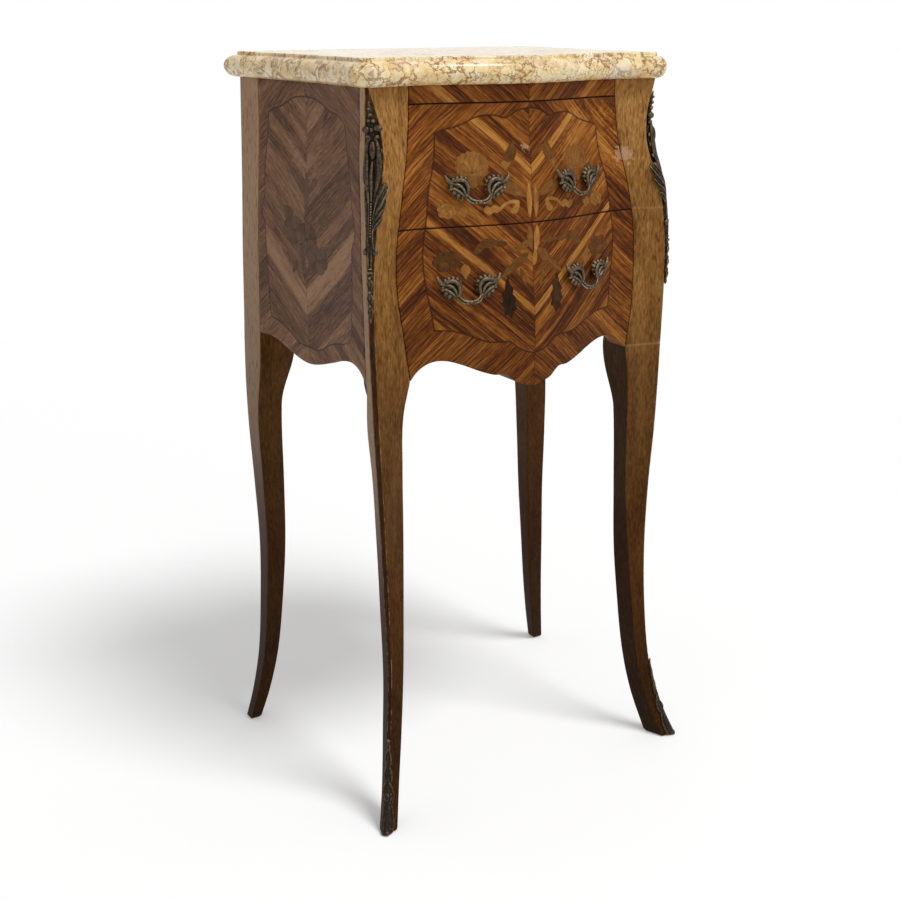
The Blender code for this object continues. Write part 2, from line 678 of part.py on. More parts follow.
def handle_mesh(name):
    """A cast pull: two leafy ends on bosses with raised finger tips, joined by a U-shaped bail.

    The pull faces -Y and stands with its bosses on the plane y = 0.
    """
    leaf_y = -BOSS_LENGTH - LEAF_DEPTH / 2
    pieces = []
    bail = []
    for i in range(BAIL_POINTS):
        turn = math.pi * i / (BAIL_POINTS - 1)
        bail.append((-BAIL_HALF * math.cos(turn), leaf_y - BAIL_SWING * math.sin(turn),
                     -BAIL_TOP - BAIL_DROP * math.sin(turn)))
    pieces.append(tube(name + "_bail", bail, BAIL_RADIUS))
    for side in (-1, 1):
        x = side * BOLT_SPREAD
        bm = bmesh.new()
        size = Matrix.Diagonal((LEAF_LENGTH, LEAF_DEPTH, LEAF_WIDTH, 1))
        lean = Matrix.Rotation(-side * LEAF_TILT, 4, "Y")
        centre = Matrix.Translation((x, leaf_y, LEAF_RISE)) @ lean
        bmesh.ops.create_uvsphere(bm, u_segments=LEAF_FACETS[0], v_segments=LEAF_FACETS[1], radius=1.0,
                                  matrix=centre @ size)
        pieces.append(mesh_from(bm, name + "_leaf"))
        boss = cylinder_mesh(name + "_boss", BOSS_RADIUS, 0, leaf_y, BOSS_SIDES)
        boss.transform(Matrix.Translation((x, 0, LEAF_RISE)))
        pieces.append(boss)
        tip = Vector((side * FINGER_REACH, 0, FINGER_RISE))
        root = Vector((x, leaf_y, LEAF_RISE))
        pieces.append(tube(name + "_finger", [root + tip * k for k in FINGER_SHARES], FINGER_RADIUS))
    return joined(name, pieces)


def fit_handles(level, front, flat_back, top, handle_x, drop):
    """Two pulls on a drawer front, each with two bolts whose nuts bear on the flat back."""
    z = top - drop
    place = place_of(z)
    share = handle_x / (opening_half(place) - DRAWER_GAP)
    parts = []
    for hand, side in SIDES:
        surface = Vector((side * handle_x, front_y(share, place), z))
        reach = BOLT_SPREAD / opening_half(place)
        outer, inner = (front_y(share + d, place) for d in (reach, -reach))
        yaw = side * math.atan2(outer - inner, 2 * BOLT_SPREAD)
        above, below = (front_y(share, place_of(z + d)) for d in (LEAF_LENGTH, -LEAF_LENGTH))
        pitch = math.atan2(above - below, 2 * LEAF_LENGTH)
        turn = Matrix.Rotation(yaw, 4, "Z") @ Matrix.Rotation(-pitch, 4, "X")
        name = f"{level}_{hand}_handle"
        handle = add_part(name, handle_mesh(name), BRONZE)
        handle.matrix_world = Matrix.Translation(surface + turn @ Vector((0, -SEAT_GAP, 0))) @ turn
        parts.append(handle)
        for end, way in SIDES:
            seat = surface + turn @ Vector((way * BOLT_SPREAD, 0, LEAF_RISE))
            parts.append(fit_bolt(f"{level}_{hand}_handle_{end}_bolt", front, seat, flat_back))
    return parts


def fit_bolt(name, front, seat, flat_back):
    """A bolt from behind a pull's boss through the drawer front, in one with its nut."""
    local_share = seat.x / (opening_half(place_of(seat.z)) - DRAWER_GAP)
    start = front_y(local_share, place_of(seat.z)) + FIT_GAP
    nut_seat = -flat_back + SEAT_GAP
    where = Matrix.Translation((seat.x, 0, seat.z))
    bore = cylinder_mesh(name, BOLT_RADIUS + HOLE_PLAY, -HEIGHT, 0, BOLT_SIDES)
    hole = bpy.data.objects.new(name + "_hole", bore)
    hole.matrix_world = where
    hole.hide_render = True
    hole.display_type = "WIRE"
    CUTTERS.objects.link(hole)
    cut = front.modifiers.new(name, "BOOLEAN")
    cut.operation = "DIFFERENCE"
    cut.object = hole
    shank = cylinder_mesh(name, BOLT_RADIUS, start, nut_seat + NUT_THICKNESS / 2, BOLT_SIDES)
    nut = cylinder_mesh(name, NUT_RADIUS, nut_seat, nut_seat + NUT_THICKNESS, NUT_SIDES)
    bolt = add_part(name, joined(name, [shank, nut]), STEEL)
    bolt.matrix_world = where
    return bolt


def build_drawers():
    """Both drawers with their pulls, each under an empty that marks its slide."""
    kinds = (
        ("upper", DUST_BOARD_TOP, UPPER_TOP, UPPER_BOX_HALF, UPPER_FLAT_BACK,
         lambda share: UPPER_BOTTOM, UPPER_COLUMNS, UPPER_HANDLE_X, UPPER_HANDLE_DROP),
        ("lower", BOTTOM_BOARD_TOP, LOWER_TOP, lower_box_half(), LOWER_FLAT_BACK,
         lambda share: KNEE_HEIGHT + along(FRONT_APRON, share), LOWER_COLUMNS,
         LOWER_HANDLE_X, LOWER_HANDLE_DROP),
    )
    for level, floor, top, half, flat_back, low_edge, columns, handle_x, drop in kinds:
        edges = (low_edge, top, columns)
        box_top = top - DRAWER_TOP_PLAY
        parts = build_drawer(level, floor + SEAT_GAP, box_top, half, flat_back, edges)
        parts += fit_handles(level, parts[0], flat_back, top, handle_x, drop)
        slide = bpy.data.objects.new(f"{level}_drawer", None)
        PARTS.objects.link(slide)
        slide.location = (0, -flat_back, floor)
        bpy.context.view_layer.update()
        for part in parts:
            placed = part.matrix_world.copy()
            part.parent = slide
            part.matrix_parent_inverse = slide.matrix_world.inverted()
            part.matrix_world = placed


def mitred(points, distance):
    """A closed outline moved in by a distance, with mitred corners, keeping the point count."""
    moved = []
    count = len(points)
    for i, point in enumerate(points):
        before = (point - points[i - 1]).normalized()
        after = (points[(i + 1) % count] - point).normalized()
        bisector = before + after
        normal = Vector((-bisector.y, bisector.x)).normalized()
        edge_normal = Vector((-before.y, before.x))
        moved.append(point + normal * distance / max(normal.dot(edge_normal), 0.5))
    return moved


def real_corners(points):
    """Which points of a closed outline are corners, and not just steps along a curve."""
    count = len(points)
    turns = [(points[i - 1] - p).angle(points[(i + 1) % count] - p) for i, p in enumerate(points)]
    return [math.pi - turn > CORNER_ANGLE for turn in turns]


def softened(points, corners):
    """A closed outline with each of its corners cut to three points of a small curve."""
    soft = []
    count = len(points)
    for i, point in enumerate(points):
        if not corners[i]:
            soft.append(point)
            continue
        before = points[i - 1] - point
        after = points[(i + 1) % count] - point
        step = min(MARBLE_SOFTENING, before.length * EDGE_SHARE, after.length * EDGE_SHARE)
        start = point + before.normalized() * step
        end = point + after.normalized() * step
        soft += [start, (start + point * 2 + end) / 4, end]
    return soft


def marble_outline():
    """Outer edge of the marble: the case's plan at the top with an even overhang, anticlockwise."""
    ridge = ridge_at(2)
    corner = back_corner(2)
    right = []
    for i in range(MARBLE_FRONT_POINTS + 1):
        share = i / MARBLE_FRONT_POINTS
        right.append(Vector((share * opening_half(2), front_y(share, 2))))
    right += [Vector((ridge.x - MARBLE_CANT, ridge.y)), Vector((ridge.x, ridge.y + MARBLE_CANT))]
    start = right[-1].y
    for i in range(1, MARBLE_SIDE_POINTS + 1):
        y = start + (corner.y - start) * i / MARBLE_SIDE_POINTS
        right.append(Vector((side_x(y, 2), y)))
    outline = right + [Vector((-p.x, p.y)) for p in reversed(right[1:])]
    outline = mitred(outline, -MARBLE_OVERHANG)
    for point in outline:
        if point.y > corner.y:
            point.y = corner.y + MARBLE_BACK_OVERHANG
    return outline


def build_marble():
    """Marble slab with a beaked edge: a small step under the flat, then a swelling round."""
    outline = marble_outline()
    corners = real_corners(outline)
    base = CASE_TOP + SEAT_GAP
    rings = []
    for inset, share in MARBLE_EDGE:
        ring = softened(mitred(outline, inset), corners)
        rings.append(with_height(ring, base + MARBLE_THICKNESS * share))
    add_part("marble_top", loft("marble_top", rings), MARBLE)


def build_front_rail():
    """Narrow veneered rail over the upper drawer."""
    front_slab("top_front_rail", UPPER_COLUMNS, lambda share: RAIL_BOTTOM, CASE_TOP, UPPER_FLAT_BACK, VENEER)


def chute_ring(place, side):
    """Five points of a corner mount lying on the canted face at a place."""
    front_edge, side_edge = cant_corners(place)
    share = (CHUTE_TOP - place) / (CHUTE_TOP - CHUTE_BOTTOM)
    half = along(CHUTE_WIDTH, share) / 2
    relief = along(CHUTE_RELIEF, share)
    out = Vector((1, -1)).normalized()
    across = Vector((1, 1)).normalized()
    centre = (front_edge + side_edge) / 2 + out * SEAT_GAP
    points = [centre + across * half * a + out * relief * b for a, b in CHUTE_SECTION]
    return with_height(mirrored(points, side), height_of(place))


def sabot_ring(place, share, side):
    """Eight points of a foot mount wrapped over the canted edge of a front leg."""
    corners = front_leg_section(place)
    front_edge, side_edge = corners[1], corners[2]
    to_front = (corners[0] - front_edge).normalized()
    to_side = (corners[3] - side_edge).normalized()
    out = Vector((1, -1)).normalized()
    wing = along(SABOT_WING, share)
    thick = along(SABOT_THICKNESS, share)
    front_out = Vector((to_front.y, -to_front.x))
    side_out = Vector((-to_side.y, to_side.x))
    if front_out.y > 0:
        front_out.negate()
    if side_out.x < 0:
        side_out.negate()
    ends = (front_edge + to_front * wing, side_edge + to_side * wing)
    near = [ends[0] + front_out * SEAT_GAP, front_edge + out * 2 * SEAT_GAP,
            side_edge + out * 2 * SEAT_GAP, ends[1] + side_out * SEAT_GAP]
    far = [ends[1] + side_out * (SEAT_GAP + thick / 3), side_edge + out * thick,
           front_edge + out * thick, ends[0] + front_out * (SEAT_GAP + thick / 3)]
    far[1] += side_out * thick / 2
    far[2] += front_out * thick / 2
    return with_height(mirrored(near + far, side), height_of(place))


def build_mounts():
    """Bronze corner chutes on the canted faces and sabots on the front feet."""
    chute_places = [CHUTE_BOTTOM] + [p for p in case_places() if CHUTE_BOTTOM < p < CHUTE_TOP] + [CHUTE_TOP]
    sabot_top = place_of(SABOT_HEIGHT)
    sabot_start = place_of(SABOT_LIFT)
    sabot_places = [sabot_start] + [p for p in leg_places() if sabot_start < p < sabot_top] + [sabot_top]
    for hand, side in SIDES:
        name = f"{hand}_chute"
        add_part(name, loft(name, [chute_ring(p, side) for p in chute_places]), BRONZE)
        name = f"{hand}_sabot"
        rings = [sabot_ring(p, p / sabot_top, side) for p in sabot_places]
        add_part(name, loft(name, rings), BRONZE)


def new_collection(name):
    """A collection in the scene."""
    collection = bpy.data.collections.new(name)
    bpy.context.scene.collection.children.link(collection)
    return collection


for leftover in list(bpy.data.objects):
    bpy.data.objects.remove(leftover)
PARTS = new_collection("nightstand")
CUTTERS = new_collection("cutters")
build_posts()
build_side_panels()
build_back()
build_front_rail()
build_boards()
build_drawers()
build_mounts()
build_marble()
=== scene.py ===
"""Looks of a two-drawer bedside commode: marquetry case, moulded marble top, cast bronze mounts.

Metres, +Z up, +X to the right, the front faces -Y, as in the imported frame. Sizes given in millimetres
say so. A place on a post is 0 at the floor, 1 at the knee and 2 at the top of the case.
"""

import ast
import logging
import math
from dataclasses import dataclass, field
from enum import Enum
from typing import Callable, Optional, Sequence

import bmesh
import bpy
import numpy as np
from bpy.types import ID, Material, Mesh, Node, NodeSocket, NodeTree, Object
from mathutils import Matrix, Vector
from mathutils.geometry import delaunay_2d_cdt


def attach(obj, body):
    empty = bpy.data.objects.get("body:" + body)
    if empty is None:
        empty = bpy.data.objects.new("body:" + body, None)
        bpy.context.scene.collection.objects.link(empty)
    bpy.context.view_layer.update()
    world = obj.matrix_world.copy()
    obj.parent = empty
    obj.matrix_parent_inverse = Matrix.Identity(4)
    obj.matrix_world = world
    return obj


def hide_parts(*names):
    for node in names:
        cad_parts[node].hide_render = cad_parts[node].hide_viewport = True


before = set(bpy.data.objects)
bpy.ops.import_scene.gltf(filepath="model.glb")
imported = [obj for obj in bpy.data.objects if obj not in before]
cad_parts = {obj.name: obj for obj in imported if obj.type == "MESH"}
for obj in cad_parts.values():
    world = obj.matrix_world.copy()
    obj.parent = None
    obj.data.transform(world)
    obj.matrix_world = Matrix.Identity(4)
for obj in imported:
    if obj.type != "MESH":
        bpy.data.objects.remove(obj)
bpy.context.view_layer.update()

LOG = logging.getLogger("commode")
MM = 0.001
SHARP = math.radians(38)
Stations = Sequence[tuple[float, float]]
Spot = tuple[float, float]
Triple = tuple[float, float, float]
Surface = Callable[[float, float], Vector]
Section = Callable[[float], list[Vector]]


class Hand(Enum):
    """Which side of the commode, seen from the front."""

    LEFT = -1
    RIGHT = 1

    @property
    def word(self) -> str:
        """The word for this side in node names."""
        return self.name.lower()


class Body(Enum):
    """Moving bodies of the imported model."""

    CARCASS = "carcass"
    UPPER = "upper_drawer"
    LOWER = "lower_drawer"


class Slot(Enum):
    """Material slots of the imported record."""

    MARBLE = "marble"
    POST = "post_wood"
    VENEER = "veneer"
    BRONZE = "bronze"


# Node trees


def linear(colour: str) -> tuple[float, ...]:
    """Turn an sRGB hex colour, six digits after a hash, to linear RGBA."""
    parts = [int(colour[i:i + 2], 16) / 255 for i in (1, 3, 5)]
    return tuple(c / 12.92 if c <= 0.04045 else ((c + 0.055) / 1.055) ** 2.4 for c in parts) + (1.0,)


def per(size: float) -> float:
    """Scale of a pattern whose features are so many millimetres wide."""
    return 1.0 / (size * MM)


PATCH_CORE = 0.6
SMOOTH = {"interpolation_type": "SMOOTHSTEP"}
COLOURS = {"data_type": "RGBA"}
DARKEN = {"data_type": "RGBA", "blend_type": "MULTIPLY"}
OPERATIONS = {ast.Add: "ADD", ast.Sub: "SUBTRACT", ast.Mult: "MULTIPLY", ast.Div: "DIVIDE"}


class Recipe:
    """A node tree being filled. What is kept as an attribute can be used by its name in a sum."""

    def __init__(self, owner: ID) -> None:
        """Start with an empty tree.

        Args:
            owner: a material, a world or a node group.
        """
        if not isinstance(owner, NodeTree):
            owner.use_nodes = True
        self.tree = owner if isinstance(owner, NodeTree) else owner.node_tree
        self.tree.nodes.clear()

    def add(self, kind: str, *links: object, **settings: object) -> Node:
        """Add a node with its settings and links.

        Args:
            kind: Blender's name of the node type, without ShaderNode in front.
            links: what feeds its shown inputs in order: a socket, a node, a hex colour or a value;
                None skips one.
            settings: node properties in small letters, inputs by name with a capital letter, and the
                stops of a colour ramp or the points of a float curve.

        Returns:
            The new node.
        """
        whole = kind.startswith(("Geometry", "NodeGroup"))
        made = self.tree.nodes.new(kind if whole else "ShaderNode" + kind)

        def feed(socket: NodeSocket, value: object) -> None:
            """Link or set one input."""
            if isinstance(value, Node):
                value = next(s for s in value.outputs if s.enabled)
            if isinstance(value, NodeSocket):
                self.tree.links.new(value, socket)
            elif isinstance(value, str) and value.startswith("#"):
                socket.default_value = linear(value)
            elif value is not None:
                socket.default_value = value

        stops = settings.pop("stops", ())
        points = settings.pop("points", ())
        for name, value in settings.items():
            if name[0].islower():
                setattr(made, name, value)
        for name, value in settings.items():
            if name[0].isupper():
                feed(made.inputs[name.replace("_", " ")], value)
        for socket, value in zip([s for s in made.inputs if s.enabled], links):
            feed(socket, value)
        for i, (place, colour) in enumerate(stops):
            stop = made.color_ramp.elements[i] if i < 2 else made.color_ramp.elements.new(place)
            stop.position = place
            stop.color = linear(colour)
        for i, point in enumerate(points):
            curve = made.mapping.curves[0]
            knot = curve.points[i] if i < 2 else curve.points.new(0, 0)
            knot.location = point
        if points:
            made.mapping.update()
        return made

    def sum(self, formula: str, **values: object) -> Node:
        """Turn a written sum into the nodes that work it out.

        Args:
            formula: a sum with + - * / and calls named like Math operations; smooth is a smooth step between
                two limits, to 0 and 1 or to two sizes that follow.
            values: what names in the sum stand for, where they aren't attributes of the recipe.

        Returns:
            The node that gives the result.
        """

        def walk(part: ast.expr) -> object:
            """One term of the sum as a node or a number."""
            if isinstance(part, ast.Constant):
                return part.value
            if isinstance(part, ast.Name):
                return values[part.id] if part.id in values else getattr(self, part.id)
            if isinstance(part, ast.BinOp):
                sides = walk(part.left), walk(part.right)
                return self.add("Math", *sides, operation=OPERATIONS[type(part.op)])
            terms = [walk(term) for term in part.args]
            if part.func.id == "smooth":
                return self.add("MapRange", *terms, **SMOOTH)
            operation = part.func.id.upper()
            result = self.add("Math", *terms[:2], operation=operation)
            for term in terms[2:]:
                result = self.add("Math", result, term, operation=operation)
            return result

        return walk(ast.parse(formula).body[0].value)

    def curve(self, value: object, stations: Stations) -> Node:
        """A curve drawn through stations.

        Args:
            value: where the curve is read, in metres.
            stations: (place, size) pairs in millimetres, in rising order of place.

        Returns:
            A node whose output is the size in metres.
        """
        places, sizes = zip(*stations)
        low, high, least, most = min(places), max(places), min(sizes), max(sizes)
        share = self.add("MapRange", value, low * MM, high * MM, 0.0, 1.0)
        first, *points, last = [((p - low) / (high - low), (s - least) / (most - least)) for p, s in stations]
        drawn = self.add("FloatCurve", 1.0, share, points=(first, last, *points))
        return self.add("MapRange", drawn, 0.0, 1.0, least * MM, most * MM)

    def patch(self, across: object, height: object, size: Triple, ragged: float = 0.04) -> Node:
        """Share of wear in a round patch with a ragged edge.

        Args:
            across: metres across.
            height: metres over the floor.
            size: across, height and radius of the patch in millimetres.
            ragged: how far its edge wanders, in metres.

        Returns:
            A node that gives 1 in the patch and 0 outside.
        """
        middle, level, radius = (s * MM for s in size)
        broken = self.add("TexNoise", self.spot, Scale=per(4.0), Detail=4.0, Roughness=0.7)
        off, rise = self.sum("a - b", a=across, b=middle), self.sum("a - b", a=height, b=level)
        far = self.sum("sqrt(off * off + rise * rise) + (broken - 0.5) * ragged", off=off, rise=rise,
                       broken=broken, ragged=ragged)
        return self.add("MapRange", far, radius, radius * PATCH_CORE, **SMOOTH)


# Finishes


Dressing = tuple[Node, Node, Node]


@dataclass(frozen=True)
class Finish:
    """A finish: its name and what is the same all over its surface.

    Bump is the strength and the height in metres of its relief; sunk turns the relief to hollows.
    """

    name: str
    metallic: float = 0.0
    coat: float = 0.0
    coat_roughness: float = 0.1
    specular: float = 0.5
    bump: Spot = (0.12, 0.0002)
    sunk: bool = False

    def material(self) -> Material:
        """The finish as a material, made once."""
        if self.name in bpy.data.materials:
            return bpy.data.materials[self.name]
        made = bpy.data.materials.new(self.name)
        n = Recipe(made)
        n.spot = n.add("TexCoord").outputs["Object"]
        colour, roughness, height = self.dress(n)
        strength, distance = self.bump
        relief = n.add("Bump", Strength=strength, Distance=distance, Height=height, invert=self.sunk)
        n.add("OutputMaterial", n.add(
            "BsdfPrincipled", Base_Color=colour, Roughness=roughness, Normal=relief, Metallic=self.metallic,
            Coat_Weight=self.coat, Coat_Roughness=self.coat_roughness, Specular_IOR_Level=self.specular))
        return made

    def dress(self, n: Recipe) -> Dressing:
        """Add the nodes of the finish.

        Args:
            n: the material's recipe, whose spot is the Object coordinates.

        Returns:
            A colour, a roughness and a relief.
        """
        raise NotImplementedError


@dataclass(frozen=True)
class PolishedMarble(Finish):
    """Cream crackled marble, cut, moulded and polished: warm clouds, rusty hair veins, wet-looking edge.

    Cloud, crackle and hair are widths in millimetres; bend is how far the veins wander, in metres.
    """

    cloud: float = 26.0
    crackle: float = 12.0
    hair: float = 5.5
    bend: float = 0.016
    bump: Spot = (0.06, 0.0004)
    sunk: bool = True

    def dress(self, n: Recipe) -> Dressing:
        """Clouds, two nets of veins that swell and run out, and a hardly broken polish."""
        wander = n.add("TexNoise", n.spot, Scale=per(8.0), Detail=4.0, Roughness=0.65)
        shift = n.add("VectorMath", wander.outputs["Color"], (0.5, 0.5, 0.5), operation="SUBTRACT")
        bent = n.add("VectorMath", shift, (self.bend,) * 3, n.spot, operation="MULTIPLY_ADD")
        n.cloud = n.add("TexNoise", bent, Scale=per(self.cloud), Detail=6.0, Roughness=0.66)
        colour = n.add("ValToRGB", n.cloud, stops=(
            (0.28, "#e0b470"), (0.42, "#efd197"), (0.54, "#f7e3b4"), (0.63, "#faedcb"), (0.74, "#fcf5e2")))
        n.large, n.small = (n.add("TexVoronoi", bent, feature="DISTANCE_TO_EDGE", Scale=per(size))
                            for size in (self.crackle, self.hair))
        n.patchy = n.add("TexNoise", n.spot, Scale=per(34.0), Detail=4.0, Roughness=0.6)
        n.finer = n.add("TexNoise", n.spot, Scale=per(16.0), Detail=2.0, W=3.0, noise_dimensions="4D")
        n.vein = n.sum("smooth(large / (0.008 + 0.125 * smooth(patchy, 0.38, 0.66)), 1.0, 0.3)")
        n.hair = n.sum("smooth(small / (0.008 + 0.115 * smooth(finer, 0.42, 0.66)), 1.0, 0.3)")
        n.rust = n.add("TexNoise", bent, Scale=per(22.0), Detail=4.0, W=5.0, noise_dimensions="4D")
        n.pale = n.add("TexNoise", bent, Scale=per(45.0), Detail=3.0, W=8.0, noise_dimensions="4D")
        for share, tint in (("smooth(rust, 0.54, 0.70) * 0.45", "#c08a45"), ("vein * 0.85", "#8d5924"),
                            ("hair * 0.7", "#9a6429"), ("smooth(pale, 0.54, 0.70) * 0.45", "#f2e9d8")):
            colour = n.add("Mix", n.sum(share), colour, tint, **COLOURS)
        return colour, n.sum("0.12 + 0.12 * cloud"), n.vein


@dataclass(frozen=True)
class PolishedPostWood(Finish):
    """Walnut veneer bent round the posts and French polished: golden, short dark pores, darker to the feet.

    Fleck, pore and mottle are widths in millimetres; the pores are drawn coarser than real ones, so that they
    show. Joints are heights in millimetres where the right front post's veneer was pieced; worn is across,
    height and radius of a rubbed patch on it.
    """

    fleck: float = 2.6
    pore: float = 1.3
    mottle: float = 20.0
    joints: Spot = (588.0, 447.0)
    worn: Triple = (127.0, 641.0, 8.5)
    bump: Spot = (0.12, 0.0003)

    def dress(self, n: Recipe) -> Dressing:
        """Grain up the post, darker to the floor, worn arrises, stained corners; painted shade, highlight and
        reflection.
        """
        stretched = n.add("VectorMath", n.spot, (1.0, 1.0, 0.24), operation="MULTIPLY")
        n.mottle = n.add("TexNoise", stretched, Scale=per(self.mottle), Detail=4.0, Roughness=0.6)
        n.fleck = n.add("TexNoise", stretched, Scale=per(self.fleck), Detail=3.0, Roughness=0.6)
        n.pore = n.add("TexNoise", stretched, Scale=per(self.pore), Detail=2.0, Roughness=0.5)
        tone = n.sum("mottle * 0.35 + fleck * 0.40 + pore * 0.25")
        ground = n.add("ValToRGB", tone, stops=(
            (0.34, "#66431f"), (0.45, "#8d6130"), (0.54, "#a37540"), (0.68, "#b88d52")))
        place = n.add("SeparateXYZ", n.spot).outputs
        n.x, n.y, n.height = place["X"], place["Y"], place["Z"]
        # Darker towards the floor, from the belly down to the feet.
        floorward_darkening = n.add("ValToRGB", n.sum("height + (mottle - 0.5) * 0.10"), stops=(
            (0.08, "#5a4c2e"), (0.20, "#75674f"), (0.33, "#8f867a"), (0.42, "#a79f93"), (0.52, "#dad4c9"),
            (0.66, "#ffffff")))
        colour = n.add("Mix", 1.0, ground, floorward_darkening, **DARKEN)
        n.flank, n.stain, n.edge = (n.add("Attribute", attribute_name=word).outputs["Fac"]
                                    for word in ("flank", "stain", "edge"))
        streak = n.add("VectorMath", n.spot, (1.0, 1.0, 0.13), operation="MULTIPLY")
        n.dash = n.add("TexNoise", streak, Scale=per(1.5), Detail=1.0)
        n.chip = n.add("TexNoise", n.spot, Scale=per(7.0), Detail=3.0, Roughness=0.6)
        n.blotch = n.add("MapRange", n.fleck, 0.3, 0.7, 1.0, 0.75)
        n.joint = 0.0
        for level in self.joints:
            n.joint = n.sum("maximum(joint, smooth(absolute(height - level), 0.0018, 0.0004))",
                            level=level * MM)
        n.rubbed = n.patch(n.x, n.height, self.worn)
        for share, tint in (
                # Painted reflection: the flanks turn pale towards the knee, lit from the left. The stain mark
                # also carries painted shade on the inner faces and lower flanks.
                ("flank * smooth(height, 0.24, 0.46, 0.12, 0.6)", "#b29881"), ("stain * blotch", "#24160c"),
                ("smooth(dash, 0.56, 0.70, 0.0, 0.55)", "#4a2c12"),
                ("greater_than(x, 0.09) * less_than(y, 0.0) * maximum(joint * 0.13, rubbed * 0.45)",
                 "#cfac8c"),
                # Pale worn arrises, with a painted highlight along them.
                ("smooth(edge, 0.5, 1.0) * smooth(chip, 0.46, 0.62) * 0.45", "#c3a075")):
            colour = n.add("Mix", n.sum(share), colour, tint, **COLOURS)
        return colour, n.sum("0.32 + 0.20 * fleck"), tone


@dataclass(frozen=True)
class ChevronVeneer(Finish):
    """Kingwood laid in slanting ribbons that meet in a V; the border of its field is turned the other way.

    Ribbon, streak and pore are widths in millimetres; the pores are drawn coarser than real ones, so that
    they show. Lights are pale ribbons in the field: middle and half width across the ribbons, and strength.
    Gap shade levels are heights of the gaps between rail and drawers, drawn as lines of painted shade.
    Worn spots and the painted sheen, a paler patch, are across, height and radius in millimetres.
    Low is how dark the painted shade leaves the veneer at the bottom.
    """

    lights: tuple[Triple, ...] = ()
    slope: float = math.radians(41)
    tones: tuple[str, ...] = ("#3f1e0b", "#5e3012", "#80491b", "#a46629", "#bf8841")
    string: str = "#331a0a"
    ribbon: float = 12.0
    streak: float = 1.3
    pore: float = 1.0
    low: float = 0.74
    seams: tuple[float, ...] = ()
    seed: float = 0.0
    worn: tuple[Triple, ...] = ()
    painted_sheen: Triple = (0.0, 0.0, 1.0)

    def field(self, n: Recipe, place: Node) -> tuple[object, object, object]:
        """How a point lies to the field.

        Args:
            n: the material's recipe.
            place: the node that separates the Object coordinates.

        Returns:
            Metres inside the field, signed metres from the V-joint, metres over the floor.
        """
        raise NotImplementedError

    def dress(self, n: Recipe) -> Dressing:
        """Ribbons turned by the field, its dark string and the joint, under a mottled old polish, with
        painted shade and a painted sheen.
        """
        n.inside, n.off, n.height = self.field(n, n.add("SeparateXYZ", n.spot))
        n.away = n.sum("absolute(off)")
        n.turn = n.sum("greater_than(inside, 0.0) * 2.0 - 1.0")
        n.rise, n.run = math.cos(self.slope), math.sin(self.slope)
        n.across = n.sum("height * rise - away * turn * run")
        n.length = n.sum("height * turn * run + away * rise")
        n.half = n.sum("greater_than(off, 0.0) * 0.07 + turn * 0.31")
        grain, short = (n.add("CombineXYZ", n.across, n.sum(squeezed), n.half)
                        for squeezed in ("length * 0.032", "length * 0.11"))
        n.strip = n.add("TexWhiteNoise", noise_dimensions="1D", W=n.sum(
            "floor(across / wide) + turn * 40.0 + half * 900.0 + seed", wide=self.ribbon * MM,
            seed=self.seed)).outputs["Value"]
        n.broad = n.add("TexNoise", grain, Scale=per(11.0), Detail=2.0, W=self.seed, noise_dimensions="4D")
        n.streak = n.add("TexNoise", grain, Scale=per(self.streak), Detail=2.0, Roughness=0.6)
        n.pore = n.add("TexNoise", short, Scale=per(self.pore), Detail=2.0, Roughness=0.55)
        n.tone = n.sum("(strip - 0.5) * 0.12 + broad * 0.20 + streak * 0.52 + pore * 0.28 - 0.01")
        for at, width, strength in self.lights:
            n.band = n.sum("smooth(absolute(across - at), wide, sharp)", at=at * MM, wide=width * MM,
                           sharp=width * 0.85 * MM)
            n.tone = n.sum("tone + band * strength * maximum(turn, 0.0)", strength=strength)
        # Painted sheen: a paler patch where the polish catches the light.
        n.tone = n.sum("tone + pale * 0.07", pale=n.patch(n.off, n.height, self.painted_sheen, 0.1))
        ground = n.add("ValToRGB", n.tone, stops=zip((0.36, 0.44, 0.51, 0.59, 0.68), self.tones))
        n.mottle = n.add("TexNoise", n.spot, Scale=per(26.0), Detail=3.0)
        # Painted shade: the veneer darkens below the belly, down to low at its bottom.
        shade = n.sum("smooth(height, 0.45, 0.62, low, 1.0)", low=self.low)
        shaded = n.add("VectorMath", ground, Scale=shade, operation="SCALE")
        colour = n.add("Mix", n.sum("mottle * 0.5"), shaded, "#9a7a5c", **DARKEN)
        for size in self.worn:
            share = n.sum("rubbed * 0.45", rubbed=n.patch(n.off, n.height, size))
            colour = n.add("Mix", share, colour, "#c9a07c", **COLOURS)
        n.line = n.sum("smooth(absolute(inside), 0.0011, 0.0005)")
        # Painted shade of the gaps between rail and drawers: a dark line at each of their heights.
        for level in self.seams:
            n.line = n.sum("maximum(line, smooth(absolute(height - level), 0.0012, 0.0006))",
                           level=level * MM)
        dark = n.sum("maximum(line * 0.8, smooth(away, 0.0007, 0.0002) * 0.5)")
        colour = n.add("Mix", dark, colour, self.string, **COLOURS)
        return colour, n.sum("0.34 + 0.24 * streak"), n.tone


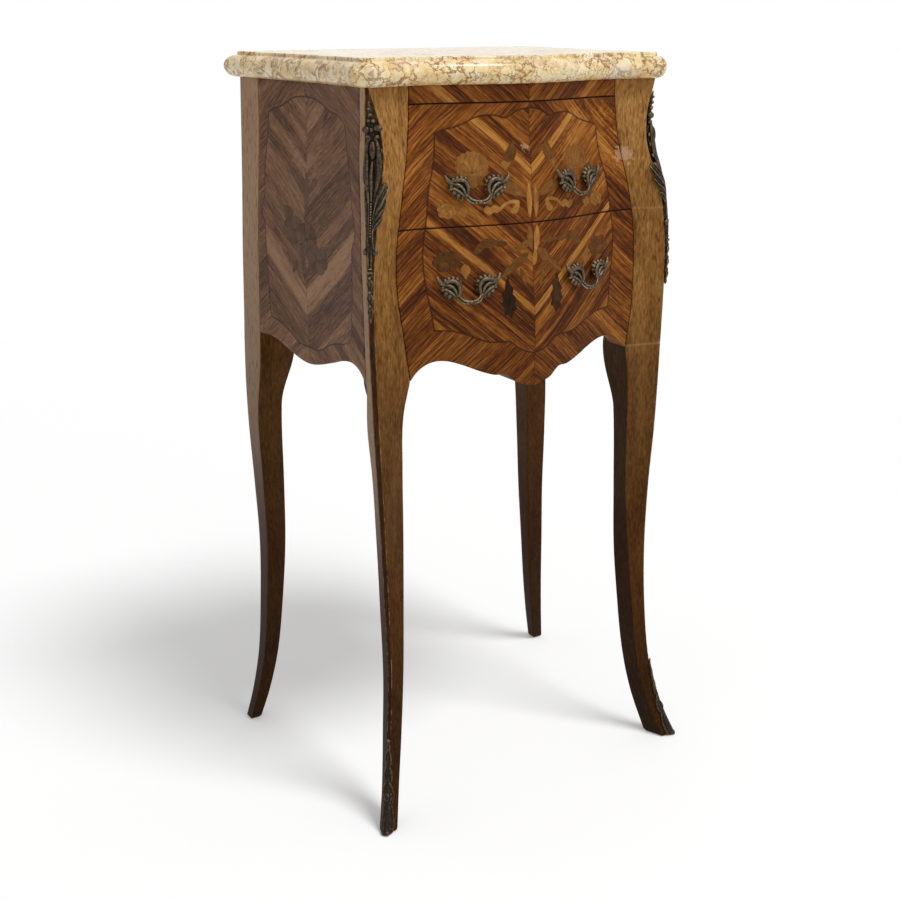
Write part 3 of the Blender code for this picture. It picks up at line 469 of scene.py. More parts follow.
FRONT_TOP = ((0, 692.6), (6, 692.2), (12, 690.6), (19, 687.3), (26, 684.5), (34, 686.4), (44, 687.2),
             (54, 685.3), (62, 681.5), (70, 678.2), (78, 676), (86, 674.5), (96, 667))
FRONT_LOW = ((0, 461.4), (8, 463), (13, 465.2), (20, 469.4), (26, 474.2), (31, 475.5), (40, 475.6),
             (48, 476.4), (56, 478.8), (66, 483), (76, 487.2), (86, 490), (104, 491.6))
FRONT_WIDE = ((490, 102), (505, 104), (525, 107), (545, 110), (560, 110.8), (575, 109.5),
              (595, 106), (610, 104), (625, 101), (640, 96.6), (655, 93.6), (667, 92.5))
SIDE_TOP = ((0, 701), (20, 699.4), (32, 696), (40, 692.6), (50, 689.2), (60, 687.4), (67, 685.2),
            (74, 680.0))
SIDE_LOW = ((0, 459), (18, 459.6), (28, 462.6), (40, 468), (52, 472.6), (62, 474.8), (70, 476),
            (90, 477.5))
SIDE_FRONT = ((478, 76), (490, 92), (506, 94), (526, 97.5), (546, 99), (566, 99), (574, 101),
              (583, 105.5), (594, 104), (604, 99), (624, 92.5), (646, 83), (664, 77.5), (680, 74))
SIDE_BACK = ((478, 75), (490, 78), (516, 79), (546, 81), (566, 82), (574, 83), (586, 88),
             (594, 85.5), (604, 81.5), (624, 81.5), (646, 78.5), (664, 75), (680, 73))
RAIL_JOINT = 0.6984


@dataclass(frozen=True)
class FrontVeneer(ChevronVeneer):
    """Chevron kingwood of the drawer fronts and the rail, read in X and Z."""

    def field(self, n: Recipe, place: Node) -> tuple[object, object, object]:
        """The cartouche over both drawers; the rail above it is laid like the field."""
        n.x, n.z = place.outputs["X"], place.outputs["Z"]
        n.away = n.sum("absolute(x)")
        inside = n.sum("minimum(top - z, z - low, wide - away) + greater_than(z, joint)", joint=RAIL_JOINT,
                       top=n.curve(n.away, FRONT_TOP), low=n.curve(n.away, FRONT_LOW),
                       wide=n.curve(n.z, FRONT_WIDE))
        return inside, n.x, n.z


@dataclass(frozen=True)
class SideVeneer(ChevronVeneer):
    """Chevron kingwood of the side panels, read in Y and Z.

    The V-joint stands at a depth at the level of the belly and leans with the panel.
    """

    joint: float = 0.011
    level: float = 0.46
    lean: float = 0.036

    def field(self, n: Recipe, place: Node) -> tuple[object, object, object]:
        """The arched field, wider at the belly, about a joint that leans with the panel."""
        n.y, n.z = place.outputs["Y"], place.outputs["Z"]
        n.off = n.sum("y - joint - (z - level) * lean", joint=self.joint, level=self.level, lean=self.lean)
        n.away = n.sum("absolute(off)")
        n.front, n.rear = n.curve(n.z, SIDE_FRONT), n.curve(n.z, SIDE_BACK)
        n.wide = n.sum("front + (rear - front) * greater_than(off, 0.0)")
        inside = n.sum("minimum(top - z, z - low, wide - away)", top=n.curve(n.away, SIDE_TOP),
                       low=n.curve(n.away, SIDE_LOW))
        return inside, n.off, n.z


@dataclass(frozen=True)
class InlaidWood(Finish):
    """Fruitwoods sawn to leaves and petals, some scorched in hot sand: each piece its own tone and grain."""

    tones: tuple[str, ...] = ("#1a0e07", "#341e0d", "#5f3b19", "#845627", "#9f6c33", "#bb8844")
    edge: float = 0.6
    bump: Spot = (0.08, 0.0002)

    def dress(self, n: Recipe) -> Dressing:
        """A tone from each piece's attribute, scorched unevenly, with short grain and a dark rim."""
        way = n.add("Attribute", attribute_name="grain").outputs["Vector"]
        n.tone, n.rim = (n.add("Attribute", attribute_name=word).outputs["Fac"] for word in ("tone", "rim"))
        n.grain = n.add("TexNoise", way, Scale=per(2.0), Detail=3.0, Roughness=0.6)
        n.shade = n.add("TexNoise", n.spot, Scale=per(8.0), Detail=3.0, Roughness=0.6)
        mixed = n.sum("tone + (grain - 0.5) * 0.45 + (shade - 0.5) * 0.40")
        ground = n.add("ValToRGB", mixed, stops=zip((0.0, 0.22, 0.45, 0.65, 0.82, 1.0), self.tones))
        dark = n.sum("smooth(rim, 0.55, 1.0, 0.0, edge)", edge=self.edge)
        colour = n.add("Mix", dark, ground, "#2e180a", **COLOURS)
        return colour, n.sum("0.36 + 0.16 * grain"), n.grain


@dataclass(frozen=True)
class PatinatedBronze(Finish):
    """Cast and chased bronze, nearly black in the hollows, rubbed to a dull olive grey on the crests."""

    bump: Spot = (0.15, 0.0002)

    def dress(self, n: Recipe) -> Dressing:
        """Patina by the crest attribute, broken by fine pitting."""
        n.crest = n.add("Attribute", attribute_name="crest").outputs["Fac"]
        n.pit = n.add("TexNoise", n.spot, Scale=per(2.6), Detail=4.0, Roughness=0.65)
        colour = n.add("ValToRGB", n.sum("crest + (pit - 0.5) * 0.5"), stops=(
            (0.30, "#0b0805"), (0.52, "#291f16"), (0.74, "#695b46"), (1.0, "#c2b294")))
        return colour, n.sum("0.52 - 0.16 * crest + 0.12 * pit"), n.pit


WAVES_PER_UNIT = 2 * math.pi / 10


@dataclass(frozen=True)
class PlanedPine(Finish):
    """Old pine, planed and left bare inside the case: straw to brown, straight rings, dusty.

    Ring is a width in millimetres; stretch draws the grain out along the board. The fine grain is drawn
    coarser than the real one, so that it shows.
    """

    ring: float = 17.0
    bump: Spot = (0.12, 0.0004)
    stretch: Triple = (1.0, 0.03, 1.0)

    def dress(self, n: Recipe) -> Dressing:
        """Rings stretched along the board, with darker late wood and grime."""
        stretched = n.add("VectorMath", n.spot, self.stretch, operation="MULTIPLY")
        n.ring = n.add("TexWave", stretched, Scale=per(self.ring) * WAVES_PER_UNIT, Distortion=9.0,
                       Detail=2.0, Detail_Scale=0.5, Detail_Roughness=0.6, bands_direction="DIAGONAL",
                       wave_profile="SAW").outputs["Fac"]
        n.broad = n.add("TexNoise", stretched, Scale=per(16.0), Detail=4.0, Roughness=0.7)
        n.hair = n.add("TexNoise", stretched, Scale=per(0.9), Detail=2.0)
        n.grime = n.add("TexNoise", n.spot, Scale=per(45.0), Detail=4.0)
        tone = n.sum("ring * 0.09 + broad * 0.45 + hair * 0.46")
        ground = n.add("ValToRGB", tone, stops=(
            (0.34, "#5e4027"), (0.45, "#80603a"), (0.55, "#997449"), (0.68, "#b59263")))
        colour = n.add("Mix", n.sum("grime * 0.6"), ground, "#7d6a55", **DARKEN)
        return colour, n.sum("0.58 + 0.2 * hair"), tone


@dataclass(frozen=True)
class TurnedSteel(Finish):
    """Small steel bolts and nuts: turned, dulled by age."""

    bump: Spot = (0.1, 0.0001)

    def dress(self, n: Recipe) -> Dressing:
        """Grey steel with brownish stains."""
        n.stain = n.add("TexNoise", n.spot, Scale=per(1.5), Detail=3.0)
        colour = n.add("Mix", n.sum("smooth(stain, 0.45, 0.65)"), "#8b8984", "#5b5048", **COLOURS)
        return colour, n.sum("0.32 + 0.2 * stain"), n.stain


MARBLE = PolishedMarble("polished_cream_marble", specular=0.22, coat=0.12, coat_roughness=0.05)
POST_WOOD = PolishedPostWood("french_polished_walnut", specular=0.05)
FRONT_VENEER = FrontVeneer("chevron_kingwood_front", specular=0.07, seams=(587.1, 698.4),
                           lights=((480, 3.6, 0.16), (379, 3.2, 0.15), (352, 2.4, 0.08)),
                           worn=((122, 641, 8), (-5, 656, 2.6)), painted_sheen=(80, 655, 46))
# The side's greyer, pinker tones carry a painted reflection of a cool light from the left.
SIDE_VENEER = SideVeneer("chevron_kingwood_side", specular=0.08, slope=math.radians(34), seed=4.0, streak=1.0,
                         pore=0.85, lights=((417, 12.5, 0.1),), painted_sheen=(0, 668, 44), string="#2c1a10",
                         low=0.96, tones=("#3e2616", "#5e3d2a", "#7c583e", "#987253", "#ae8768"))
INLAY_WOOD = InlaidWood("scorched_fruitwood_inlay", specular=0.07)
# The same fruitwood as the front, with paler, greyer tones that carry a painted reflection of the light from
# the left.
SIDE_INLAY = InlaidWood("bleached_fruitwood_inlay", specular=0.08, edge=0.3,
                        tones=("#22140b", "#3f2817", "#624530", "#825f45", "#997457", "#b08868"))
BRONZE = PatinatedBronze("patinated_cast_bronze", metallic=0.85)
PINE_DEEP = PlanedPine("planed_pine_front_to_back", specular=0.2)
PINE_WIDE = PlanedPine("planed_pine_side_to_side", specular=0.2, stretch=(0.05, 1.0, 1.0))
STEEL = TurnedSteel("turned_steel", metallic=1.0)


# Meshes


def along(stations: Stations, place: float) -> float:
    """Read a smooth curve through (place, size) stations, level beyond its ends.

    Args:
        stations: the pairs, in rising order of place.
        place: where to read it.

    Returns:
        The size there.
    """
    if place <= stations[0][0]:
        return stations[0][1]
    if place >= stations[-1][0]:
        return stations[-1][1]
    last = len(stations) - 1
    k = next(i for i in range(last) if place <= stations[i + 1][0])

    def slope(i: int) -> float:
        """Slope at a station."""
        a, b = stations[max(i - 1, 0)], stations[min(i + 1, last)]
        return (b[1] - a[1]) / (b[0] - a[0])

    (p0, v0), (p1, v1) = stations[k], stations[k + 1]
    gap = p1 - p0
    t = (place - p0) / gap
    rise = t * t * (3 - 2 * t)
    return v0 + (v1 - v0) * rise + gap * t * (1 - t) * (slope(k) * (1 - t) - slope(k + 1) * t)


def flowing(points: Sequence[Sequence[float]], steps: int, closed: bool = False) -> np.ndarray:
    """A smooth line through points.

    Args:
        points: the points it passes through.
        steps: pieces between two points.
        closed: whether it runs back to its start.

    Returns:
        An array of points on the line.
    """
    knots = np.array(points, dtype=float)
    count = len(knots)
    made = []
    for i in range(count if closed else count - 1):
        if closed:
            a, b, c, d = (knots[(i + k) % count] for k in (-1, 0, 1, 2))
        else:
            a, b, c, d = (knots[min(max(i + k, 0), count - 1)] for k in (-1, 0, 1, 2))
        for j in range(steps):
            t = j / steps
            made.append(0.5 * (2 * b + (c - a) * t + (2 * a - 5 * b + 4 * c - d) * t * t
                               + (3 * b - a - 3 * c + d) * t ** 3))
    if not closed:
        made.append(knots[-1])
    return np.array(made)


def placed(name: str, data: ID) -> Object:
    """Put a new object in the scene.

    Args:
        name: its name.
        data: its mesh, curve, camera or lamp.

    Returns:
        The object.
    """
    made = bpy.data.objects.new(name, data)
    bpy.context.scene.collection.objects.link(made)
    return made


def settled(carrier: Object, name: str) -> Mesh:
    """Turn an object with its modifiers to a plain mesh.

    Args:
        carrier: the object, which is removed.
        name: name of the result.

    Returns:
        The mesh.
    """
    bpy.context.view_layer.update()
    seen = carrier.evaluated_get(bpy.context.evaluated_depsgraph_get())
    result = bpy.data.meshes.new_from_object(seen)
    carrier.modifiers.clear()
    bpy.data.objects.remove(carrier)
    result.name = name
    return result


def finished(mesh: Mesh, name: str, **modifiers: dict) -> Mesh:
    """A mesh with modifiers applied.

    Args:
        mesh: the mesh to work on.
        name: name of the result.
        modifiers: settings by modifier type, in order.

    Returns:
        A plain mesh.
    """
    carrier = placed(name + "_work", mesh)
    for kind, settings in modifiers.items():
        modifier = carrier.modifiers.new(kind, kind)
        for key, value in settings.items():
            setattr(modifier, key, value)
    return settled(carrier, name)


def eased(mesh: Mesh, name: str, width: float) -> Mesh:
    """A mesh with its arrises eased by a width."""
    return finished(mesh, name, BEVEL={"width": width, "segments": 2, "limit_method": "ANGLE"})


def stamp(mesh: Mesh, name: str, values: np.ndarray) -> None:
    """Give a mesh's points an attribute.

    Args:
        mesh: the mesh.
        name: the attribute's name.
        values: numbers, or vectors where they have three columns.
    """
    vector = values.ndim == 2
    attribute = mesh.attributes.new(name, "FLOAT_VECTOR" if vector else "FLOAT", "POINT")
    attribute.data.foreach_set("vector" if vector else "value", values.astype(np.float32).ravel())


def points_of(mesh: Mesh) -> np.ndarray:
    """Read a mesh's points.

    Args:
        mesh: the mesh.

    Returns:
        An array of rows.
    """
    flat = np.empty(len(mesh.vertices) * 3, dtype=np.float32)
    mesh.vertices.foreach_get("co", flat)
    return flat.reshape(-1, 3).astype(float)


CREST_ROUNDS = 6


def crests(mesh: Mesh, reach: float) -> np.ndarray:
    """How far each point stands out of its neighbours, 0 in hollows and 1 on crests.

    Args:
        mesh: a smooth closed mesh.
        reach: the standing out, in metres, that counts as a full crest.

    Returns:
        One number for each point.
    """
    places = points_of(mesh)
    pairs = np.empty(len(mesh.edges) * 2, dtype=np.int32)
    mesh.edges.foreach_get("vertices", pairs)
    pairs = pairs.reshape(-1, 2)
    count = np.maximum(np.bincount(pairs.ravel(), minlength=len(places)), 1)[:, None]
    smooth = places.copy()
    for _ in range(CREST_ROUNDS):
        total = np.zeros_like(smooth)
        np.add.at(total, pairs[:, 0], smooth[pairs[:, 1]])
        np.add.at(total, pairs[:, 1], smooth[pairs[:, 0]])
        smooth = total / count
    normals = np.array([v.vector for v in mesh.vertex_normals])
    out = ((places - smooth) * normals).sum(axis=1)
    return np.clip(0.5 + 0.5 * out / reach, 0.0, 1.0)


def facing_out(mesh: Mesh) -> Mesh:
    """Turn a mesh's faces to point out.

    Args:
        mesh: a closed mesh.

    Returns:
        The same mesh.
    """
    bm = bmesh.new()
    bm.from_mesh(mesh)
    bmesh.ops.recalc_face_normals(bm, faces=bm.faces)
    bm.to_mesh(mesh)
    bm.free()
    return mesh


def skin(name: str, points: Sequence, faces: Sequence, **marks: np.ndarray) -> Mesh:
    """A closed mesh whose faces point out.

    Args:
        name: name of the mesh.
        points: its points.
        faces: point numbers of each face.
        marks: attributes of the points.

    Returns:
        The mesh.
    """
    mesh = bpy.data.meshes.new(name)
    mesh.from_pydata(points, [], faces)
    for mark, values in marks.items():
        stamp(mesh, mark, values)
    return facing_out(mesh)


def tube(rings: int, count: int, base: int = 0) -> list[tuple[int, ...]]:
    """Faces of a tube through rings of points, capped at both ends.

    Args:
        rings: how many rings.
        count: points in each ring.
        base: number of the first point.

    Returns:
        Point numbers of each face.
    """
    last = base + (rings - 1) * count
    faces = []
    for low in range(base, last, count):
        for i in range(count):
            j = (i + 1) % count
            faces.append((low + i, low + j, low + count + j, low + count + i))
    return [*faces, tuple(range(base + count - 1, base - 1, -1)), tuple(range(last, last + count))]


def loft(name: str, rings: Sequence[np.ndarray], **marks: np.ndarray) -> Mesh:
    """A closed body through rings of equally many points, with attributes of one number for each point."""
    flat = {mark: values.ravel() for mark, values in marks.items()}
    return skin(name, np.concatenate(rings).tolist(), tube(len(rings), len(rings[0])), **flat)


def slab(name: str, columns: int, rows: int, surface: Surface, behind: Callable[[Vector], Vector]) -> Mesh:
    """A grid laid on a surface and drawn out to its back.

    Args:
        name: name of the mesh.
        columns: faces across.
        rows: faces up.
        surface: the point at two shares, across and up.
        behind: the back point under a front point.

    Returns:
        A closed mesh.
    """
    bm = bmesh.new()
    bmesh.ops.create_grid(bm, x_segments=columns, y_segments=rows, size=0.5)
    for vert in bm.verts:
        vert.co = surface(vert.co.x + 0.5, vert.co.y + 0.5)
    drawn_out = bmesh.ops.extrude_face_region(bm, geom=bm.faces[:], use_keep_orig=True)
    for item in drawn_out["geom"]:
        if isinstance(item, bmesh.types.BMVert):
            item.co = behind(item.co)
    mesh = bpy.data.meshes.new(name)
    bm.to_mesh(mesh)
    bm.free()
    return facing_out(mesh)


def bent(start: Vector, corner: Vector, end: Vector, t: float) -> Vector:
    """The point at a share of the curve that takes a corner's place."""
    return start * (1 - t) ** 2 + corner * 2 * t * (1 - t) + end * t * t


def show(name: str, mesh: Mesh, finish: Finish, body: Body, slot: Slot, nodes: Sequence[str] = ()) -> None:
    """Put a finished mesh in the scene as a piece that rides on a body.

    Args:
        name: the piece's name.
        mesh: its mesh, in place.
        finish: its finish.
        body: the body it moves with.
        slot: the record's slot meant for it; not used.
        nodes: CAD nodes it stands for.
    """
    mesh.shade_smooth()
    mesh.set_sharp_from_angle(angle=SHARP)
    mesh.materials.clear()
    mesh.materials.append(finish.material())
    piece = placed(name, mesh)
    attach(piece, body.value)
    if nodes:
        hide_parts(*nodes)
    LOG.info("%s: %d faces on %s", name, len(mesh.polygons), body.value)


# The case


@dataclass(frozen=True)
class CaseForm:
    """Lines of the bombe case and its legs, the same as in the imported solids."""

    knee: float = 0.445
    top: float = 0.7147
    front_half: float = 0.1617
    neck_forward: float = 0.1062
    back_half: float = 0.1758
    back_depth: float = 0.1446
    opening: float = 0.117
    opening_forward: float = 0.0969
    bow: float = 0.02
    scoop: float = 1.4
    hollow: float = 0.006
    strip: float = 0.0105
    tongue: float = 0.075
    panel: float = 0.012
    fit: float = 0.0006
    back_inner: float = 0.148
    back_tongue: float = 0.018
    stile_fade: float = 0.8
    ridge_out: Stations = (
        (0, 0.0235), (0.09, 0.012), (0.2, 0.0044), (0.34, -0.0003), (0.49, -0.0005), (0.65, 0.002),
        (0.81, 0.0063), (1, 0.0098), (1.31, 0.0118), (1.46, 0.0115), (1.61, 0.0085), (1.76, 0.0018),
        (1.87, 0), (2, 0.0026))
    ridge_forward: Stations = (
        (0, 0.0465), (0.09, 0.0316), (0.2, 0.022), (0.34, 0.0174), (0.49, 0.0135), (0.65, 0.0132),
        (0.81, 0.015), (1, 0.015), (1.31, 0.015), (1.46, 0.0148), (1.61, 0.0125), (1.76, 0.0036), (1.87, 0),
        (2, -0.0019))
    cant: Stations = (
        (0, 0.002), (0.2, 0.0025), (0.49, 0.003), (1, 0.0042), (1.31, 0.0043), (1.46, 0.0063), (1.61, 0.0091),
        (1.76, 0.0131), (1.87, 0.0105), (1.95, 0.0061), (2, 0.0028))
    opening_out: Stations = (
        (1, 0.011), (1.17, 0.0177), (1.31, 0.0214), (1.46, 0.0207), (1.61, 0.0142), (1.76, 0.0055),
        (1.87, 0.0017), (2, 0))
    opening_belly: Stations = (
        (1, 0.0161), (1.17, 0.0159), (1.31, 0.0123), (1.46, 0.0107), (1.61, 0.0088), (1.76, 0.0037),
        (1.87, 0.0011), (2, 0))
    leg_face: Stations = (
        (0, 0.0154), (0.09, 0.015), (0.2, 0.0164), (0.34, 0.0176), (0.49, 0.0216), (0.65, 0.0275),
        (0.81, 0.0322), (0.92, 0.0356))
    leg_face_turn: Stations = (
        (0, 0.0022), (0.34, 0.0026), (0.49, 0.0038), (0.65, 0.008), (0.81, 0.0104), (0.92, 0.0103))
    leg_side: Stations = (
        (0, 0.015), (0.09, 0.0145), (0.34, 0.0166), (0.65, 0.0215), (0.81, 0.0242), (1, 0.03))
    leg_side_turn: Stations = ((0, 0.002), (0.34, 0.0018), (0.65, 0.0043), (0.81, 0.0054), (1, 0.0025))
    leg_inner: Stations = (
        (0, 0.024), (0.09, 0.0215), (0.34, 0.0228), (0.49, 0.0253), (0.65, 0.0282), (0.81, 0.0329),
        (1.0, 0.0388))
    back_out: Stations = (
        (0, 0.0276), (0.09, 0.02), (0.2, 0.0137), (0.34, 0.0102), (0.49, 0.0081), (0.65, 0.0099),
        (0.81, 0.0116), (1, 0.0083), (1.38, 0.0053), (1.61, 0.0029), (2, 0))
    back_lean: Stations = (
        (0, -0.0023), (0.09, -0.009), (0.2, -0.0144), (0.34, -0.0166), (0.49, -0.0164), (0.65, -0.0133),
        (0.81, -0.0082), (0.92, -0.0021), (1, 0), (2, 0))
    back_square: Stations = (
        (0, 0.0127), (0.09, 0.0147), (0.2, 0.0168), (0.34, 0.0192), (0.49, 0.0217), (0.65, 0.0248),
        (0.81, 0.0277), (0.92, 0.0303), (1, 0.0325), (2, 0.0345))

    def height(self, place: float) -> float:
        """Height over the floor of a place on a post."""
        return self.knee * place if place <= 1 else self.knee + (self.top - self.knee) * (place - 1)

    def place(self, height: float) -> float:
        """Place on a post at a height over the floor."""
        over = height - self.knee
        return height / self.knee if over <= 0 else 1 + over / (self.top - self.knee)

    def ridge(self, place: float) -> Vector:
        """The corner that the right front post would have without its canted face."""
        return Vector((self.front_half + along(self.ridge_out, place),
                       -self.neck_forward - along(self.ridge_forward, place)))

    def half(self, place: float) -> float:
        """Half the width between the front posts."""
        return self.opening + along(self.opening_out, place)

    def forward(self, place: float) -> float:
        """How far forward the ends of the drawer fronts stand."""
        return self.opening_forward + along(self.opening_belly, place)

    def back_corner(self, place: float) -> Vector:
        """The outer back corner of the right back post."""
        return Vector((self.back_half + along(self.back_out, place),
                       self.back_depth + along(self.back_lean, place)))

    def side_x(self, y: float, place: float) -> float:
        """Outer face of the right side of the case, hollow in plan.

        Args:
            y: depth.
            place: place on the posts.

        Returns:
            Its distance from the middle.
        """
        ridge, corner = self.ridge(place), self.back_corner(place)
        start = ridge.y + along(self.cant, place)
        t = (y - start) / (corner.y - start)
        return ridge.x + (corner.x - ridge.x) * t - 4 * self.hollow * t * (1 - t)

    def strip_y(self, place: float) -> float:
        """Where the side panel starts behind the front post's strip."""
        return self.ridge(place).y + along(self.cant, place) + self.strip

    def stile_y(self, place: float) -> float:
        """Where the side panel ends at the back post's stile."""
        return self.back_corner(place).y - along(self.back_square, place)

    def inner_x(self, y: float, place: float) -> float:
        """Inner face of the side panel."""
        return self.side_x(y, place) - self.panel - self.fit

    def front_y(self, share: float, place: float) -> float:
        """The serpentine front at a share of its half width."""
        return -self.forward(place) - self.bow * (1 - share * share) * (1 - self.scoop * share * share)

    def front_point(self, x: float, z: float) -> Vector:
        """The point of the front at a width and a height."""
        place = max(self.place(z), 1.0)
        return Vector((x, self.front_y(x / self.half(place), place), z))

    def canted(self, place: float) -> tuple[Vector, Vector]:
        """Both edges of the right front post's canted face, front one first."""
        ridge, cant = self.ridge(place), along(self.cant, place)
        return Vector((ridge.x - cant, ridge.y)), Vector((ridge.x, ridge.y + cant))

    def front_leg(self, place: float) -> list[Vector]:
        """Section of the right front leg, from the inner edge of its front face round.

        Args:
            place: place on the post.

        Returns:
            Seven corners.
        """
        ridge, knee = self.ridge(place), self.ridge(1)
        face = (*self.leg_face, (1.0, knee.x - self.half(1)))
        turn = (*self.leg_face_turn, (1.0, -self.forward(1) - knee.y))
        front, side = self.canted(place)
        inner_front = ridge + Vector((-along(face, place), along(turn, place)))
        back = ridge + Vector((-along(self.leg_side_turn, place), along(self.leg_side, place)))
        inner = ridge + Vector((-1, 1)) * along(self.leg_inner, place)
        return [inner_front, front, side, back, back.lerp(inner, 1 / 3), back.lerp(inner, 2 / 3), inner]

    def front_post(self, place: float) -> list[Vector]:
        """Section of the right front post, rebated at the side for the panel.

        Args:
            place: place on the post.

        Returns:
            Seven corners.
        """
        front, side = self.canted(place)
        half, edge = self.half(place), self.strip_y(place)
        return [Vector((half, -self.forward(place))), front, side, Vector((self.side_x(edge, place), edge)),
                Vector((self.inner_x(edge, place), edge)),
                Vector((self.inner_x(-self.tongue, place), -self.tongue)), Vector((half, -self.tongue))]

    def back_leg(self, place: float) -> list[Vector]:
        """Section of the right back leg, from its outer back corner round by the back.

        Args:
            place: place on the post.

        Returns:
            Six corners.
        """
        corner, square = self.back_corner(place), along(self.back_square, place)
        stile, inner = corner + Vector((0, -square)), corner + Vector((-square, -square))
        fade = max(0.0, (place - self.stile_fade) / (1 - self.stile_fade))
        stile.x -= (self.back_corner(1).x - self.side_x(self.stile_y(1), 1)) * fade
        return [corner, corner + Vector((-square, 0)), inner, stile.lerp(inner, 2 / 3),
                stile.lerp(inner, 1 / 3), stile]

    def back_post(self, place: float) -> list[Vector]:
        """Section of the right back post, rebated for the side panel.

        Args:
            place: place on the post.

        Returns:
            Six corners.
        """
        corner, edge = self.back_corner(place), self.stile_y(place)
        tongue = edge - self.back_tongue
        return [corner, Vector((self.back_inner, corner.y)), Vector((self.back_inner, tongue)),
                Vector((self.inner_x(tongue, place), tongue)), Vector((self.inner_x(edge, place), edge)),
                Vector((self.side_x(edge, place), edge))]


FORM = CaseForm()
MITRE_LIMIT = 0.5


def mitred(points: Sequence[Vector], distance: float) -> list[Vector]:
    """A closed outline moved in by a distance, with mitred corners.

    Args:
        points: the outline, anticlockwise.
        distance: how far in; below zero moves it out.

    Returns:
        As many points as came in.
    """
    moved = []
    count = len(points)
    for i, point in enumerate(points):
        before = (point - points[i - 1]).normalized()
        after = (points[(i + 1) % count] - point).normalized()
        bisector = before + after
        normal = Vector((-bisector.y, bisector.x)).normalized()
        lean = normal.dot(Vector((-before.y, before.x)))
        moved.append(point + normal * distance / max(lean, MITRE_LIMIT))
    return moved


@dataclass
class Posts:
    """Four posts, each in one with its cabriole leg, with softened arrises and rounded feet."""

    leg_rings: int = 84
    case_rings: int = 64
    crowding: float = 1.25
    shoulder: float = 0.001
    flow_start: float = 0.84
    arris: float = 0.0011
    arris_share: float = 0.4
    arc_points: int = 5
    face_points: int = 3
    sole_radius: float = 0.003
    sole_rings: int = 5
    stain_fade: Stations = ((0.05, 0.7), (0.2, 0.8), (0.4, 0.9), (0.44, 1))
    # Painted shade on the lower flanks, its strength by height.
    flank_shade_fade: Stations = ((0.1, 0.95), (0.2, 0.9), (0.27, 0.4), (0.33, 0))

    def softened(self, corners: Sequence[Vector],
                 rubbed: Sequence[int]) -> tuple[list[Vector], list[float], list[float]]:
        """A section with rounded corners and points along its faces.

        Args:
            corners: its sharp corners.
            rubbed: which corners are worn pale and carry a painted highlight.

        Returns:
            Points, how near each is to an arris, and which face each lies on.
        """
        points, edges, faces = [], [], []
        count = len(corners)
        sides = [corners[(i + 1) % count] - corner for i, corner in enumerate(corners)]
        room = [side.length * self.arris_share for side in sides]
        reach = [min(self.arris, room[i - 1], room[i]) for i in range(count)]
        for i, corner in enumerate(corners):
            start = corner - sides[i - 1].normalized() * reach[i]
            end = corner + sides[i].normalized() * reach[i]
            for k in range(self.arc_points):
                t = k / (self.arc_points - 1)
                points.append(bent(start, corner, end, t))
                edges.append((1 - abs(2 * t - 1)) * (i in rubbed))
                faces.append((i - 1 + t) % count)
            after = (i + 1) % count
            stop = corners[after] - sides[i].normalized() * reach[after]
            for k in range(1, self.face_points + 1):
                points.append(end.lerp(stop, k / (self.face_points + 1)))
                edges.append(0.0)
                faces.append(float(i))
        return points, edges, faces

    def levels(self, leg: Section, post: Section, line: Callable[[float], Vector],
               kept: int) -> list[tuple[float, list[Vector]]]:
        """Heights and sharp sections from the sole up; the leg's inner corners flow into the post's.

        Args:
            leg: section of the leg at a place.
            post: section of the post at a place.
            line: the outer corner's line, which both follow.
            kept: how many corners are the same in both.

        Returns:
            Pairs of height and corners.
        """
        made = []
        for k in range(self.sole_rings):
            turn = math.pi / 2 * k / self.sole_rings
            inset = self.sole_radius * (1 - math.sin(turn))
            made.append((self.sole_radius * (1 - math.cos(turn)), mitred(leg(0), inset)))
        first = FORM.place(self.sole_radius)
        knee = post(1)
        for i in range(self.leg_rings + 1):
            place = first + (1 - first) * (i / self.leg_rings) ** self.crowding
            corners = leg(place)
            t = max(0.0, (place - self.flow_start) / (1 - self.flow_start))
            flow = t * t * (3 - 2 * t)
            shift = line(place) - line(1)
            corners[kept:] = [a.lerp(b + shift, flow) for a, b in zip(corners[kept:], knee[kept:])]
            made.append((FORM.height(place), corners))
        start = FORM.place(FORM.knee + self.shoulder)
        for i in range(self.case_rings + 1):
            place = start + (2 - start) * i / self.case_rings
            made.append((FORM.height(place), post(place)))
        return made

    def build(self) -> None:
        """Make the four posts; the corner faces are stained, the inner faces stained with painted shade, the
        lower flanks darkened by painted shade.
        """
        kinds = (("front", FORM.front_leg, FORM.front_post, FORM.ridge, 3, 2, (3, 6), (1, 2), 0.8),
                 ("back", FORM.back_leg, FORM.back_post, FORM.back_corner, 1, 5, (1, 4), (0,), 0.3))
        for where, leg, post, line, kept, flank_face, (first, last), rubbed, inner_stain_and_shade in kinds:
            levels = self.levels(leg, post, line, kept)
            for hand in Hand:
                rings, edges, stains_and_shade, flanks = [], [], [], []
                for height, corners in levels:
                    points, edge, faces = self.softened(corners, rubbed)
                    rings.append(np.array([(hand.value * p.x, p.y, height) for p in points]))
                    edges.append(edge)
                    cant = along(self.stain_fade, height) if where == "front" else 0.0
                    flanks.append(np.array([max(0.0, 1 - 2 * abs(f - flank_face)) for f in faces]))
                    # The canted face takes stain; the inner faces take stain and painted shade; the lower
                    # flanks take painted shade.
                    stain = [max(cant * max(0.0, 1 - 2 * abs(f - 1)),
                                 inner_stain_and_shade * (first - 0.5 < f < last + 0.5)) for f in faces]
                    stains_and_shade.append(np.maximum(stain, flanks[-1] * along(self.flank_shade_fade, height)))
                name = f"{where}_{hand.word}_post"
                mesh = loft(name, rings, edge=np.array(edges), stain=np.array(stains_and_shade), flank=np.array(flanks))
                show(f"veneered_{name}", mesh, POST_WOOD, Body.CARCASS, Slot.POST, [name])


